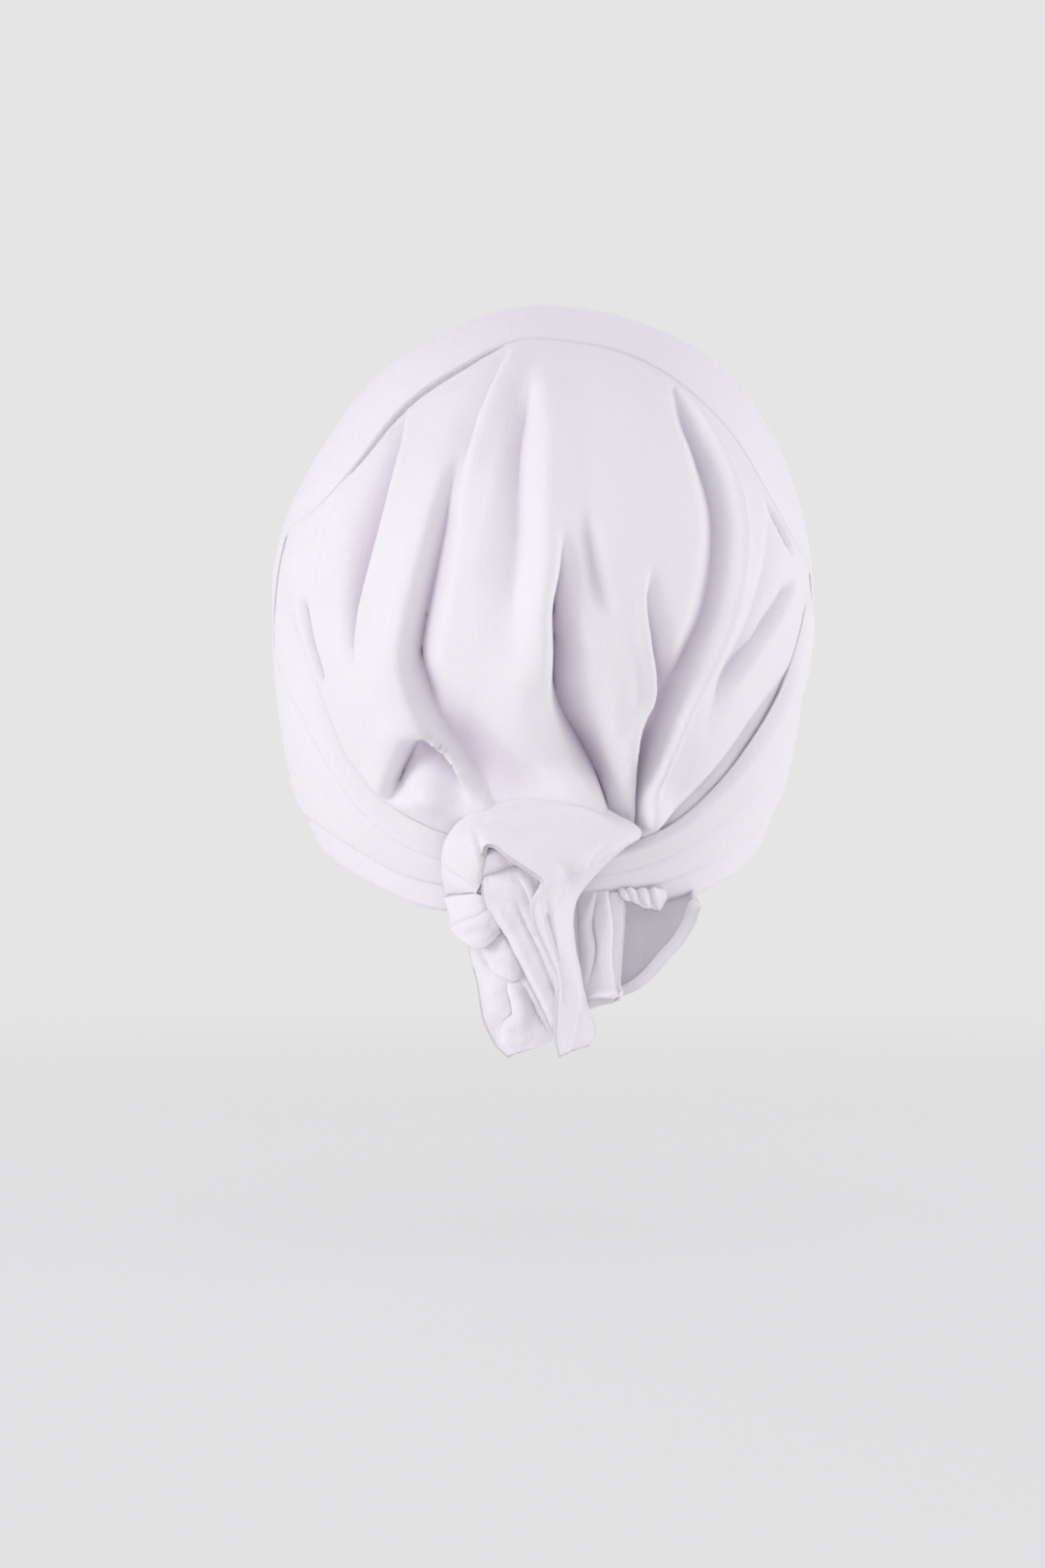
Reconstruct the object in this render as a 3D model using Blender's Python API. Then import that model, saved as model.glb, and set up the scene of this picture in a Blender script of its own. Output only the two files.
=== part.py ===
"""A jersey hair bonnet: a smooth front panel over the top of the head, a gathered back panel sewn to it, and
two pleated ties that run from the temples to a half-bow at the nape.

Scene units are metres. The tables below are in millimetres and degrees, and MM turns them into metres when a
mesh is made. The wearer faces -Y, their left is +X, and the origin is the top of the head that the crown
rests on. An azimuth is measured round the vertical from straight back (+Y, 0) towards the wearer's left
(+X, 90) and, negative, towards their right.
"""

import math
from collections import namedtuple

import bmesh
import bpy
import numpy as np

MM = 0.001

# Driving sizes, in mm.
HEAD_CENTRE = np.array([0.0, 0.0, -95.0])
CLOTH = 1.4
FRONT_CLOTH = 1.6
SEAM_TUCK = 4.0
TIE_TUCK = 9.0
TUCKED_HEIGHT = -2.4
CORNER_DROP = 2.4
CORNER_REACH = 13.0
PANEL_RISE = 12.0
FRONT_HEIGHT = 0.4
TIE_RISE = 9.0
KNOT_CLOTH = 1.5

# How many points a fold's path has, and the half-step used to find the form's slope, in mm.
FOLD_POINTS = 24
SLOPE_STEP = 0.5

# Cells along and across each piece of cloth.
FRONT_HEM_CELLS = 40
FRONT_SIDE_CELLS = 8
FRONT_ROWS = 6
BACK_CELLS = (57, 23)
TIE_CELLS = (22, 12)
WRAP_CELLS = (30, 6)
STRIP_CELLS = (12, 5)
LOOP_CELLS = (26, 7)
BAND_CELLS = (9, 4)

# How much closer together the back panel's columns are at its middle than they would be if evenly spaced.
BACK_MIDDLE_SHARE = 0.42

JERSEY = {"colour": (0.83, 0.81, 0.87, 1.0), "roughness": 0.85}
JERSEY_SHADE = {"colour": (0.79, 0.75, 0.84, 1.0), "roughness": 0.88}

# Radius of the cloth from the head's centre at angles down from straight up, on four sides of the head.
FormRow = namedtuple("FormRow", "polar back left front right")
FORM = (
    FormRow(0, 95, 95, 95, 95),
    FormRow(20, 96, 92.5, 97, 95),
    FormRow(40, 99, 91.5, 100, 96),
    FormRow(60, 104, 90, 103, 94),
    FormRow(80, 107, 93.5, 102, 93.5),
    FormRow(100, 106, 97, 103, 96),
    FormRow(120, 101, 106, 108, 102.5),
    FormRow(135, 103, 118, 116, 114),
    FormRow(150, 115, 131, 128, 127),
    FormRow(165, 136, 150, 150, 146),
)

# Curves on the form, as (azimuth, height) pairs from the wearer's left to their right. A side seam joins the
# front panel to a tie, from the end of the crown seam down to the nape side of the ear.
CROWN_SEAM = (
    (72, -83), (51, -73), (41, -58), (35, -44), (22, -29), (7, -19), (-8, -20),
    (-21, -23), (-33, -31), (-39, -39), (-46, -52), (-52, -69), (-61, -84), (-78, -96),
)
SIDE_SEAM_LEFT_END = (105, -181)
SIDE_SEAM_RIGHT_END = (-105, -181)
FRONT_HEM = (
    (115, -177), (127, -150), (144, -114), (162, -86), (180, -76),
    (198, -86), (216, -114), (233, -150), (245, -177),
)
# The line half-way across the front panel, between its hem and its back edge.
FRONT_MIDDLE = (
    (110, -179), (106, -150), (102, -120), (98, -90), (100, -60), (114, -30), (150, -9), (180, -5),
    (210, -9), (246, -30), (260, -64), (262, -97), (258, -124), (254, -151), (250, -179),
)
GATHER_LINE = (
    (72, -83), (64, -105), (57, -122), (54, -140), (51, -160), (45, -174), (35, -183), (22, -189),
    (8, -192), (-8, -192), (-22, -189), (-38, -182), (-47, -170), (-54, -155),
    (-61, -137), (-66, -116), (-70, -106), (-78, -96),
)
# Each tie's upper and lower edge, from its side seam to the knot.
TIE_LEFT_UPPER = ((72, -83), (64, -105), (57, -122), (54, -140), (51, -160), (45, -174), (36, -182), (21, -188))
TIE_LEFT_LOWER = ((105, -181), (97, -188), (88, -194), (75, -200), (61, -206), (48, -211), (24, -211))
TIE_RIGHT_UPPER = (
    (-78, -96), (-70, -106), (-66, -116), (-61, -137), (-54, -155), (-47, -170), (-38, -182), (-20, -190)
)
TIE_RIGHT_LOWER = ((-105, -181), (-97, -189), (-88, -195), (-75, -202), (-60, -207), (-36, -209), (-7, -207))

# A fold follows a path on the form. Its cloth stands at left_height on the wearer's left of a path that runs
# down, at right_height on their right, and each side returns to the panel within its width. The step between
# the two sides takes edge. The fold begins and ends over the shares fade_in and fade_out of its path, and
# both widths grow by end_width towards its end.
Fold = namedtuple("Fold", "path left_height left_width right_height right_width edge fade_in fade_out end_width")
BACK_FOLDS = {
    "left_pocket_pleat": Fold(
        ((35, -46), (32, -62), (33, -80), (37, -99), (42, -120)), -4.9, 10, 3.8, 7, 3.5, 0.15, 0.35, 0.6
    ),
    "left_long_pleat": Fold(
        ((18, -66), (20, -81), (25, -106), (26, -120), (23, -138), (17, -160), (9, -175)),
        4.3, 8, -8.1, 8, 5.0, 0.3, 0.15, 1.7,
    ),
    "left_soft_dip": Fold(((11, -25), (13, -37), (15, -49), (16, -62)), -3.5, 8, 2.4, 5, 4.0, 0.3, 0.4, 0.8),
    "centre_left_dip": Fold(((5, -38), (6, -62), (7, -100), (8, -130)), -4.6, 5, -4.6, 4, 3.5, 0.25, 0.4, 1.3),
    "centre_ridge": Fold(((1, -36), (1, -66), (1, -100), (1, -134)), 4.1, 5, 4.1, 5, 3.5, 0.3, 0.4, 1.0),
    "centre_edge": Fold(
        ((-3, -84), (-2, -108), (-2, -140), (-4, -150), (-9, -160), (-15, -170), (-21, -182)),
        5.4, 9, -14.2, 7, 4.5, 0.35, 0.1, 1.5,
    ),
    "small_right_dip": Fold(((-7, -80), (-8, -99), (-12, -116)), -3.2, 4, -3.2, 4, 3.5, 0.4, 0.4, 1.0),
    "right_column": Fold(((-11, -105), (-15, -133), (-18, -153), (-22, -180)), 4.6, 6, 4.6, 6, 3.5, 0.4, 0.15, 0.8),
    "column_edge": Fold(
        ((-20, -108), (-21, -126), (-25, -146), (-25, -160), (-26, -182)), 2.4, 4, -10.8, 7, 4.0, 0.4, 0.1, 0.8
    ),
    "right_long_pleat": Fold(
        ((-33, -38), (-34, -58), (-36, -80), (-34, -105), (-31, -125), (-29, -147), (-29, -166), (-31, -180)),
        -8.1, 12, 8.1, 9, 4.0, 0.2, 0.12, 0.7,
    ),
    "right_soft_dip": Fold(((-50, -76), (-46, -98), (-41, -126), (-38, -150)), 0.5, 5, -3.5, 6, 3.5, 0.3, 0.4, 1.0),
    "right_side_dip": Fold(((-58, -100), (-50, -114), (-43, -127), (-39, -138)), -4.3, 6, -4.3, 5, 3.5, 0.35, 0.4, 1.0),
    "under_tie_dip": Fold(
        ((-57, -130), (-52, -143), (-48, -154), (-42, -169), (-36, -182)), -4.9, 7, -4.9, 7, 4.0, 0.4, 0.1, 0.8
    ),
    "hanging_pocket": Fold(
        ((22, -168), (24, -159), (28, -152), (32, -151), (38, -160), (44, -171)),
        4.1, 8, -6.8, 7, 4.0, 0.3, 0.3, 1.0,
    ),
}

# A bulge is a round rise of the back panel.
Bulge = namedtuple("Bulge", "azimuth height width tall rise")
BACK_BULGES = {
    "hanging_cloth": Bulge(37, -140, 24, 18, 3.0),
    "below_pocket": Bulge(34, -172, 20, 7, 2.4),
    "middle_fullness": Bulge(9, -145, 26, 24, 2.4),
    "right_fullness": Bulge(-44, -95, 20, 32, 1.8),
    "knot_fullness": Bulge(-30, -178, 9, 9, 3.0),
    "under_knot": Bulge(2, -180, 26, 9, -3.5),
}

# Pleats across a tie: the share of its width at the side seam and at the knot where one pleat ends and the
# next begins, and how far the cloth drops there.
Pleat = namedtuple("Pleat", "at_seam at_knot drop")
TIE_LEFT_PLEATS = (Pleat(0.30, 0.34, 2.6), Pleat(0.62, 0.66, 2.6))
TIE_RIGHT_PLEATS = (Pleat(0.40, 0.50, 4.0), Pleat(0.74, 0.84, 2.4))
TIE_PLEAT_HEIGHT = 4.4
TIE_LIFT = 0.5
# Shares of a tie's width: its rolled edges, the step at the end of a pleat, and the reach of the drop past it.
TIE_EDGE_SHARE = 0.10
PLEAT_STEP_SHARE = 0.09
PLEAT_REACH_SHARE = 0.14

# Sections across a strip of the knot: one edge, the other edge, and how far the cloth bows out between them.
Section = namedtuple("Section", "x y z other_x other_y other_z bow")
# From the left lobe, over the hollow of the knot, round its right tip and down the right tail.
WRAP_SECTIONS = (
    Section(33.0, 52.5, -206, 23.0, 70.0, -205, 3.0),
    Section(34.5, 58.5, -198, 21.5, 77.0, -200, 4.0),
    Section(33.5, 65.0, -189, 21.0, 81.5, -194, 4.0),
    Section(28.0, 68.0, -182, 20.0, 84.5, -189.5, 4.0),
    Section(21.0, 69.5, -178, 17.0, 86.5, -189.5, 3.5),
    Section(10.0, 72.8, -175.3, 12.0, 88.0, -193, 3.5),
    Section(-2.0, 74.0, -174.5, 7.5, 88.5, -196, 4.0),
    Section(-14.0, 72.5, -175.5, 3.5, 88.0, -198.5, 4.5),
    Section(-24.0, 68.0, -180, 1.0, 86.5, -201, 4.5),
    Section(-30.8, 66.0, -184.6, 1.5, 84.5, -203.5, 3.5),
    Section(-27.0, 64.5, -189.5, 3.0, 83.0, -206, 3.5),
    Section(-19.0, 62.5, -197, 4.2, 81.0, -209, 3.0),
    Section(-12.0, 61.5, -204.5, 4.3, 79.0, -212.5, 2.5),
    Section(-9.0, 63.0, -213, 3.2, 76.5, -217.5, 1.8),
    Section(-9.5, 64.5, -223, 0.2, 74.0, -224.5, 1.5),
    Section(-11.5, 65.5, -233, -3.2, 72.0, -233, 1.2),
    Section(-13.8, 65.5, -243, -4.3, 71.0, -243, 1.2),
    Section(-16.5, 65.0, -253, -4.0, 70.0, -254, 1.0),
    Section(-14.5, 65.0, -257, -5.0, 69.0, -260.5, 0.6),
)
MIDDLE_TAIL_SECTIONS = (
    Section(20.5, 76.5, -203, 3.0, 76.0, -203, 1.5),
    Section(19.5, 76.5, -209.5, 1.0, 73.0, -208.5, 1.5),
    Section(14.0, 74.5, -217, -1.0, 70.5, -216, 1.5),
    Section(8.5, 72.0, -227, -3.5, 68.0, -226, 1.5),
    Section(3.5, 69.5, -237, -6.5, 66.0, -236, 1.2),
    Section(-0.5, 67.5, -246, -9.0, 64.0, -246, 1.0),
    Section(-3.0, 66.5, -253.5, -10.0, 63.0, -253, 0.6),
)
LEFT_TAIL_SECTIONS = (
    Section(29.0, 63.0, -211, 12.5, 67.8, -209, 1.2),
    Section(26.0, 64.0, -221, 9.5, 67.0, -219, 2.0),
    Section(23.7, 61.5, -230, 5.5, 65.0, -229, 3.5),
    Section(22.0, 62.0, -239, 1.5, 63.0, -238, 3.5),
    Section(20.5, 62.0, -248, -2.5, 61.0, -247, 3.0),
    Section(17.0, 61.5, -256.5, -3.5, 60.5, -253.5, 2.0),
    Section(12.5, 61.0, -261, 1.0, 60.5, -257.5, 1.0),
)
KNOT_BAND_SECTIONS = (
    Section(33.8, 57.5, -207.8, 31.5, 59.5, -216, 1.5),
    Section(28.5, 65.0, -206.9, 27.5, 67.5, -221, 2.5),
    Section(22.0, 70.6, -206.5, 21.5, 70.5, -223.5, 2.5),
    Section(16.5, 71.0, -210.5, 15.5, 70.0, -218.5, 1.5),
)
# From the free edge of the loop's pleated front, round the fold at the knot, to the rim of its back.
LOOP_SECTIONS = (
    Section(-27.5, 51.5, -211, -25.0, 59.0, -240.5, 2.5),
    Section(-21.0, 53.0, -210.5, -20.0, 60.5, -241.5, 2.5),
    Section(-15.0, 53.5, -210, -15.0, 60.5, -243, 2.0),
    Section(-9.5, 53.0, -209.5, -10.5, 59.0, -244.5, 1.5),
    Section(-8.0, 49.5, -209.5, -9.0, 55.5, -245.5, 1.0),
    Section(-12.0, 46.0, -210, -13.0, 52.0, -245, 0.0),
    Section(-23.0, 43.5, -211, -22.0, 49.0, -241.5, -1.5),
    Section(-34.0, 39.5, -211, -32.0, 48.0, -236.5, -2.0),
    Section(-43.5, 34.5, -210.5, -41.0, 46.5, -226.5, -2.0),
    Section(-49.0, 33.0, -210.5, -47.0, 45.5, -218.5, -1.0),
    Section(-51.5, 36.5, -210.5, -50.5, 46.0, -212.5, 0.0),
)
LOOP_PLEATS = 3
LOOP_PLEAT_DEPTH = 1.8
LOOP_PLEATED_SHARE = 0.3
LOOP_PLEAT_FADE = 0.08

CORE_CENTRE = (10.0, 64.9, -197.5)
CORE_RADII = (13.0, 9.0, 10.5)
CORE_SEGMENTS = 12
CORE_RINGS = 7


def clear_scene():
    for obj in list(bpy.data.objects):
        bpy.data.objects.remove(obj)


def smoothstep(value):
    value = np.clip(value, 0.0, 1.0)
    return value * value * (3.0 - 2.0 * value)


def smooth_through(x, knots, values):
    """A smooth curve through the values at the knots, read at x. It runs level at the first knot."""
    knots = np.asarray(knots, float)
    values = np.asarray(values, float)
    x = np.clip(x, knots[0], knots[-1])
    slopes = np.gradient(values, knots)
    slopes[0] = 0.0
    index = np.clip(np.searchsorted(knots, x, side="right") - 1, 0, len(knots) - 2)
    step = knots[index + 1] - knots[index]
    t = (x - knots[index]) / step
    from_value = (2 * t**3 - 3 * t**2 + 1) * values[index] + (3 * t**2 - 2 * t**3) * values[index + 1]
    from_slope = (t**3 - 2 * t**2 + t) * slopes[index] + (t**3 - t**2) * slopes[index + 1]
    return from_value + from_slope * step


def unit(vectors):
    return vectors / np.maximum(np.linalg.norm(vectors, axis=-1, keepdims=True), 1e-12)


def form_radius(directions):
    """The form's radius from the head's centre, in the given unit directions."""
    polar = np.degrees(np.arccos(np.clip(directions[..., 2], -1.0, 1.0)))
    angles = [row.polar for row in FORM]
    side = {
        name: smooth_through(polar, angles, [getattr(row, name) for row in FORM])
        for name in ("back", "left", "front", "right")
    }
    across = np.where(directions[..., 0] >= 0, side["left"], side["right"])
    along = np.where(directions[..., 1] >= 0, side["back"], side["front"])
    level = directions[..., 0] ** 2 + directions[..., 1] ** 2 + 1e-12
    stretched = (directions[..., 0] / across) ** 2 + (directions[..., 1] / along) ** 2
    return np.sqrt(level / (stretched + 1e-12 / side["back"] ** 2))


def onto_form(points):
    """The points moved along their ray from the head's centre onto the form."""
    directions = unit(points - HEAD_CENTRE)
    return HEAD_CENTRE + directions * form_radius(directions)[..., None]


def form_point(azimuth, height):
    """The point of the form at an azimuth in degrees and a height in mm."""
    turn = math.radians(azimuth)
    low, high = 0.0, math.radians(165)
    for _ in range(40):
        polar = (low + high) / 2
        direction = np.array(
            [math.sin(polar) * math.sin(turn), math.sin(polar) * math.cos(turn), math.cos(polar)]
        )
        point = HEAD_CENTRE + direction * form_radius(direction)
        if point[2] > height:
            low = polar
        else:
            high = polar
    return point


def form_normals(points):
    """Outward unit normals of the form at points on it or near it."""

    def outside(at):
        offset = at - HEAD_CENTRE
        return np.linalg.norm(offset, axis=-1) - form_radius(unit(offset))

    steps = np.eye(3) * SLOPE_STEP
    slope = [outside(points + step) - outside(points - step) for step in steps]
    return unit(np.stack(slope, axis=-1))


def curve_through(points, shares):
    """Points at the given shares of the length of a smooth curve through some points."""
    points = np.asarray(points, float)
    steps = np.linalg.norm(np.diff(points, axis=0), axis=1)
    along = np.concatenate([[0.0], np.cumsum(steps)])
    slopes = np.gradient(points, along, axis=0)
    fine = np.linspace(0.0, along[-1], 40 * len(points))
    index = np.clip(np.searchsorted(along, fine, side="right") - 1, 0, len(along) - 2)
    step = (along[index + 1] - along[index])[:, None]
    t = (fine - along[index])[:, None] / step
    curve = (
        (2 * t**3 - 3 * t**2 + 1) * points[index]
        + (3 * t**2 - 2 * t**3) * points[index + 1]
        + (t**3 - 2 * t**2 + t) * step * slopes[index]
        + (t**3 - t**2) * step * slopes[index + 1]
    )
    run = np.concatenate([[0.0], np.cumsum(np.linalg.norm(np.diff(curve, axis=0), axis=1))])
    return np.stack([np.interp(shares * run[-1], run, curve[:, axis]) for axis in range(3)], axis=-1)


def form_curve(rows, count=None, shares=None):
    """The smooth curve on the form through (azimuth, height) rows, at count even steps or at shares of it."""
    shares = np.linspace(0.0, 1.0, count) if shares is None else shares
    return onto_form(curve_through([form_point(*row) for row in rows], shares))


def cloth_between(upper, lower, cells, above, below):
    """A grid on the form whose columns run from upper to lower, reaching past each by above and below mm.

    It also returns how far each point lies below upper and above lower, in mm.
    """
    start = unit(upper - HEAD_CENTRE)
    finish = unit(lower - HEAD_CENTRE)
    angle = np.arccos(np.clip((start * finish).sum(-1), -1.0, 1.0))
    angle = np.maximum(angle, 1e-4)
    length = angle * (np.linalg.norm(upper - HEAD_CENTRE, axis=-1) + np.linalg.norm(lower - HEAD_CENTRE, axis=-1)) / 2
    share = np.linspace(0.0, 1.0, cells + 1)
    run = -above + share[None, :] * (length + above + below)[:, None]
    t = run / length[:, None]
    a = angle[:, None]
    from_start = np.sin((1.0 - t) * a) / np.sin(a)
    from_finish = np.sin(t * a) / np.sin(a)
    directions = from_start[..., None] * start[:, None] + from_finish[..., None] * finish[:, None]
    return onto_form(HEAD_CENTRE + unit(directions)), run, length[:, None] - run


def cloth_across(first, middle, last, cells):
    """A grid on the form whose columns run from first through middle to last."""
    t = np.linspace(0.0, 1.0, cells + 1)[None, :, None]
    directions = [unit(curve - HEAD_CENTRE)[:, None] for curve in (first, middle, last)]
    shares = ((1.0 - t) * (1.0 - 2.0 * t), 4.0 * t * (1.0 - t), t * (2.0 * t - 1.0))
    return onto_form(HEAD_CENTRE + sum(share * way for share, way in zip(shares, directions)))


def fold_heights(points, normals, fold):
    """How far one fold lifts or sinks each point."""
    path = form_curve(fold.path, FOLD_POINTS)
    best = np.full(points.shape[:-1], np.inf)
    side = np.zeros(points.shape[:-1])
    along = np.zeros(points.shape[:-1])
    for i in range(len(path) - 1):
        step = path[i + 1] - path[i]
        share = np.clip(((points - path[i]) @ step) / (step @ step), 0.0, 1.0)
        offset = points - (path[i] + share[..., None] * step)
        distance = np.linalg.norm(offset, axis=-1)
        nearer = distance < best
        sign = np.sign((np.cross(step, normals) * offset).sum(-1))
        best = np.where(nearer, distance, best)
        side = np.where(nearer, -sign * distance, side)
        along = np.where(nearer, (i + share) / (len(path) - 1), along)
    grow = 1.0 + (fold.end_width - 1.0) * along
    left = fold.left_height * np.exp(-((side / (fold.left_width * grow)) ** 2))
    right = fold.right_height * np.exp(-((side / (fold.right_width * grow)) ** 2))
    to_right = smoothstep(0.5 + side / (2.0 * fold.edge))
    fade = smoothstep(along / fold.fade_in) * smoothstep((1.0 - along) / fold.fade_out)
    return fade * (left * (1.0 - to_right) + right * to_right)


def bulge_heights(points, bulge):
    centre = form_point(bulge.azimuth, bulge.height)
    offset = points - centre
    across = np.linalg.norm(offset[..., :2], axis=-1) / bulge.width
    up = offset[..., 2] / bulge.tall
    return bulge.rise * np.exp(-(across**2) - up**2)


def settled(heights):
    """Heights over a grid, each averaged with its neighbours, so that folds that cross the grid stay even."""
    for axis in (0, 1):
        padded = np.concatenate(
            [heights.take([0], axis), heights, heights.take([-1], axis)], axis
        )
        before, after = np.roll(padded, 1, axis), np.roll(padded, -1, axis)
        inside = [slice(None), slice(None)]
        inside[axis] = slice(1, -1)
        heights = ((before + 2.0 * padded + after) / 4.0)[tuple(inside)]
    return heights


def grid_normals(grid):
    along = np.gradient(grid, axis=0)
    across = np.gradient(grid, axis=1)
    return unit(np.cross(along, across))


def jersey(name, look):
    material = bpy.data.materials.get(name) or bpy.data.materials.new(name)
    material.use_nodes = True
    shader = material.node_tree.nodes["Principled BSDF"]
    shader.inputs["Base Color"].default_value = look["colour"]
    shader.inputs["Roughness"].default_value = look["roughness"]
    shader.inputs["Metallic"].default_value = 0.0
    return material


def mesh_object(name, points, faces, look):
    """A smooth-shaded object from points in mm, its faces turned to point out."""
    mesh = bpy.data.meshes.new(name)
    mesh.from_pydata([tuple(p) for p in np.asarray(points) * MM], [], faces)
    shape = bmesh.new()
    shape.from_mesh(mesh)
    bmesh.ops.recalc_face_normals(shape, faces=shape.faces)
    shape.to_mesh(mesh)
    shape.free()
    mesh.shade_smooth()
    obj = bpy.data.objects.new(name, mesh)
    obj.data.materials.append(jersey("jersey_" + name, look))
    bpy.context.scene.collection.objects.link(obj)
    return obj


def cloth_solid(name, grid, thickness, look, normals=None):
    """A wall of cloth of one thickness, half to each side of a grid of points in mm."""
    rows, columns = grid.shape[:2]
    half = (grid_normals(grid) if normals is None else normals) * thickness / 2
    points = np.concatenate([(grid + half).reshape(-1, 3), (grid - half).reshape(-1, 3)])
    under = rows * columns

    def at(i, j):
        return i * columns + j

    faces = []
    for i in range(rows - 1):
        for j in range(columns - 1):
            quad = (at(i, j), at(i + 1, j), at(i + 1, j + 1), at(i, j + 1))
            faces.append(quad)
            faces.append(tuple(under + k for k in reversed(quad)))
    rim = [at(i, 0) for i in range(rows)]
    rim += [at(rows - 1, j) for j in range(1, columns)]
    rim += [at(i, columns - 1) for i in range(rows - 2, -1, -1)]
    rim += [at(0, j) for j in range(columns - 2, 0, -1)]
    for k, here in enumerate(rim):
        after = rim[(k + 1) % len(rim)]
        faces.append((here, after, under + after, under + here))
    return mesh_object(name, points, faces, look)


def side_seam(crown_end, lower_end, count):
    """count points down the shortest line on the form between two (azimuth, height) ends."""
    start, finish = form_point(*crown_end)[None], form_point(*lower_end)[None]
    grid, _, _ = cloth_between(start, finish, count - 1, 0.0, 0.0)
    return grid[0]


def front_panel():
    """The smooth band over the top of the head, from the forehead hem to the crown seam and the side seams."""
    left = side_seam(CROWN_SEAM[0], SIDE_SEAM_LEFT_END, FRONT_SIDE_CELLS + 1)[::-1]
    right = side_seam(CROWN_SEAM[-1], SIDE_SEAM_RIGHT_END, FRONT_SIDE_CELLS + 1)
    crown = form_curve(CROWN_SEAM, FRONT_HEM_CELLS - 2 * FRONT_SIDE_CELLS + 1)
    back_edge = np.concatenate([left, crown[1:], right[1:]])
    hem = form_curve(FRONT_HEM, FRONT_HEM_CELLS + 1)
    grid = cloth_across(hem, form_curve(FRONT_MIDDLE, FRONT_HEM_CELLS + 1), back_edge, FRONT_ROWS)
    normals = form_normals(grid)
    return cloth_solid("front_panel", grid + normals * FRONT_HEIGHT, FRONT_CLOTH, JERSEY, normals)


def back_panel():
    """The gathered bag between the crown seam and the ties, tucked under both."""
    columns, rows = BACK_CELLS
    even = np.linspace(0.0, 1.0, columns + 1)
    shares = even + BACK_MIDDLE_SHARE * np.sin(2.0 * math.pi * even) / (2.0 * math.pi)
    seam = form_curve(CROWN_SEAM, shares=shares)
    gather = form_curve(GATHER_LINE, shares=shares)
    grid, below_seam, above_gather = cloth_between(seam, gather, rows, SEAM_TUCK, TIE_TUCK)
    normals = form_normals(grid)
    free = smoothstep(below_seam / PANEL_RISE) * smoothstep(above_gather / PANEL_RISE)
    drape = sum(fold_heights(grid, normals, fold) for fold in BACK_FOLDS.values())
    drape = drape + sum(bulge_heights(grid, bulge) for bulge in BACK_BULGES.values())
    heights = TUCKED_HEIGHT * (1.0 - free) + settled(drape) * free
    for corner in (form_point(*CROWN_SEAM[0]), form_point(*CROWN_SEAM[-1])):
        near = np.linalg.norm(grid - corner, axis=-1) / CORNER_REACH
        heights = heights - CORNER_DROP * np.exp(-(near**2))
    return cloth_solid("back_panel", grid + normals * heights[..., None], CLOTH, JERSEY)


def pleat_heights(across, along, pleats):
    """The height of a tie's pleats: each rises gently from its upper edge and drops where the next begins."""
    heights = np.full(across.shape, TIE_PLEAT_HEIGHT)
    for pleat in pleats:
        line = pleat.at_seam + (pleat.at_knot - pleat.at_seam) * along
        past = across - line
        step = smoothstep(0.5 + past / PLEAT_STEP_SHARE)
        heights -= pleat.drop * step * np.exp(-np.maximum(past, 0.0) / PLEAT_REACH_SHARE)
    rolled = smoothstep(across / TIE_EDGE_SHARE) * smoothstep((1.0 - across) / TIE_EDGE_SHARE)
    return heights * rolled


def tie(name, upper_rows, lower_rows, pleats):
    """One tie, from the edge tucked under its side seam to the knot."""
    columns, rows = TIE_CELLS
    upper = form_curve(upper_rows, columns + 1)
    lower = form_curve(lower_rows, columns + 1)
    grid, _, _ = cloth_between(upper, lower, rows, 0.0, 0.0)
    seam = grid[0]
    tucked = seam - unit(grid[1] - seam) * SEAM_TUCK
    grid = onto_form(np.concatenate([tucked[None], grid]))
    normals = form_normals(grid)
    run = np.concatenate([[0.0], np.cumsum(np.linalg.norm(np.diff(grid, axis=0), axis=-1).mean(-1))])
    along = np.clip(run / run[-1], 0.0, 1.0)[:, None] + np.zeros(grid.shape[1])
    across = np.linspace(0.0, 1.0, rows + 1)[None, :] + np.zeros((len(grid), 1))
    rise = smoothstep((run - SEAM_TUCK) / TIE_RISE)[:, None]
    lifted = TIE_LIFT + pleat_heights(across, along, pleats)
    heights = TUCKED_HEIGHT * (1.0 - rise) + lifted * rise
    return cloth_solid(name, grid + normals * heights[..., None], CLOTH, JERSEY)


def strip_grid(sections, cells):
    """A grid over a strip: cells[0] along its sections, cells[1] from one edge to the other."""
    table = np.array(sections, float)
    place = np.linspace(0.0, len(sections) - 1.0, cells[0] + 1)
    base = np.clip(place.astype(int), 0, len(sections) - 2)
    t = (place - base)[:, None]
    slopes = np.gradient(table, axis=0)
    rows = (
        (2 * t**3 - 3 * t**2 + 1) * table[base]
        + (3 * t**2 - 2 * t**3) * table[base + 1]
        + (t**3 - 2 * t**2 + t) * slopes[base]
        + (t**3 - t**2) * slopes[base + 1]
    )
    share = np.linspace(0.0, 1.0, cells[1] + 1)[None, :, None]
    grid = rows[:, None, 0:3] * (1.0 - share) + rows[:, None, 3:6] * share
    grid[..., 1] += rows[:, 6:7] * 4.0 * (share * (1.0 - share))[..., 0]
    return grid


def strip(name, sections, cells, look):
    return cloth_solid(name, strip_grid(sections, cells), KNOT_CLOTH, look)


def knot_loop():
    """The loop of the half-bow that hangs below the wearer's right tie, pleated in front of its fold."""
    grid = strip_grid(LOOP_SECTIONS, LOOP_CELLS)
    along = np.linspace(0.0, 1.0, grid.shape[0])[:, None]
    pleated = smoothstep((LOOP_PLEATED_SHARE - along) / LOOP_PLEAT_FADE)
    wave = np.cos(2.0 * math.pi * LOOP_PLEATS * along / LOOP_PLEATED_SHARE)
    grid[..., 1] += LOOP_PLEAT_DEPTH * pleated * wave
    return cloth_solid("knot_loop", grid, KNOT_CLOTH, JERSEY_SHADE)


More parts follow.
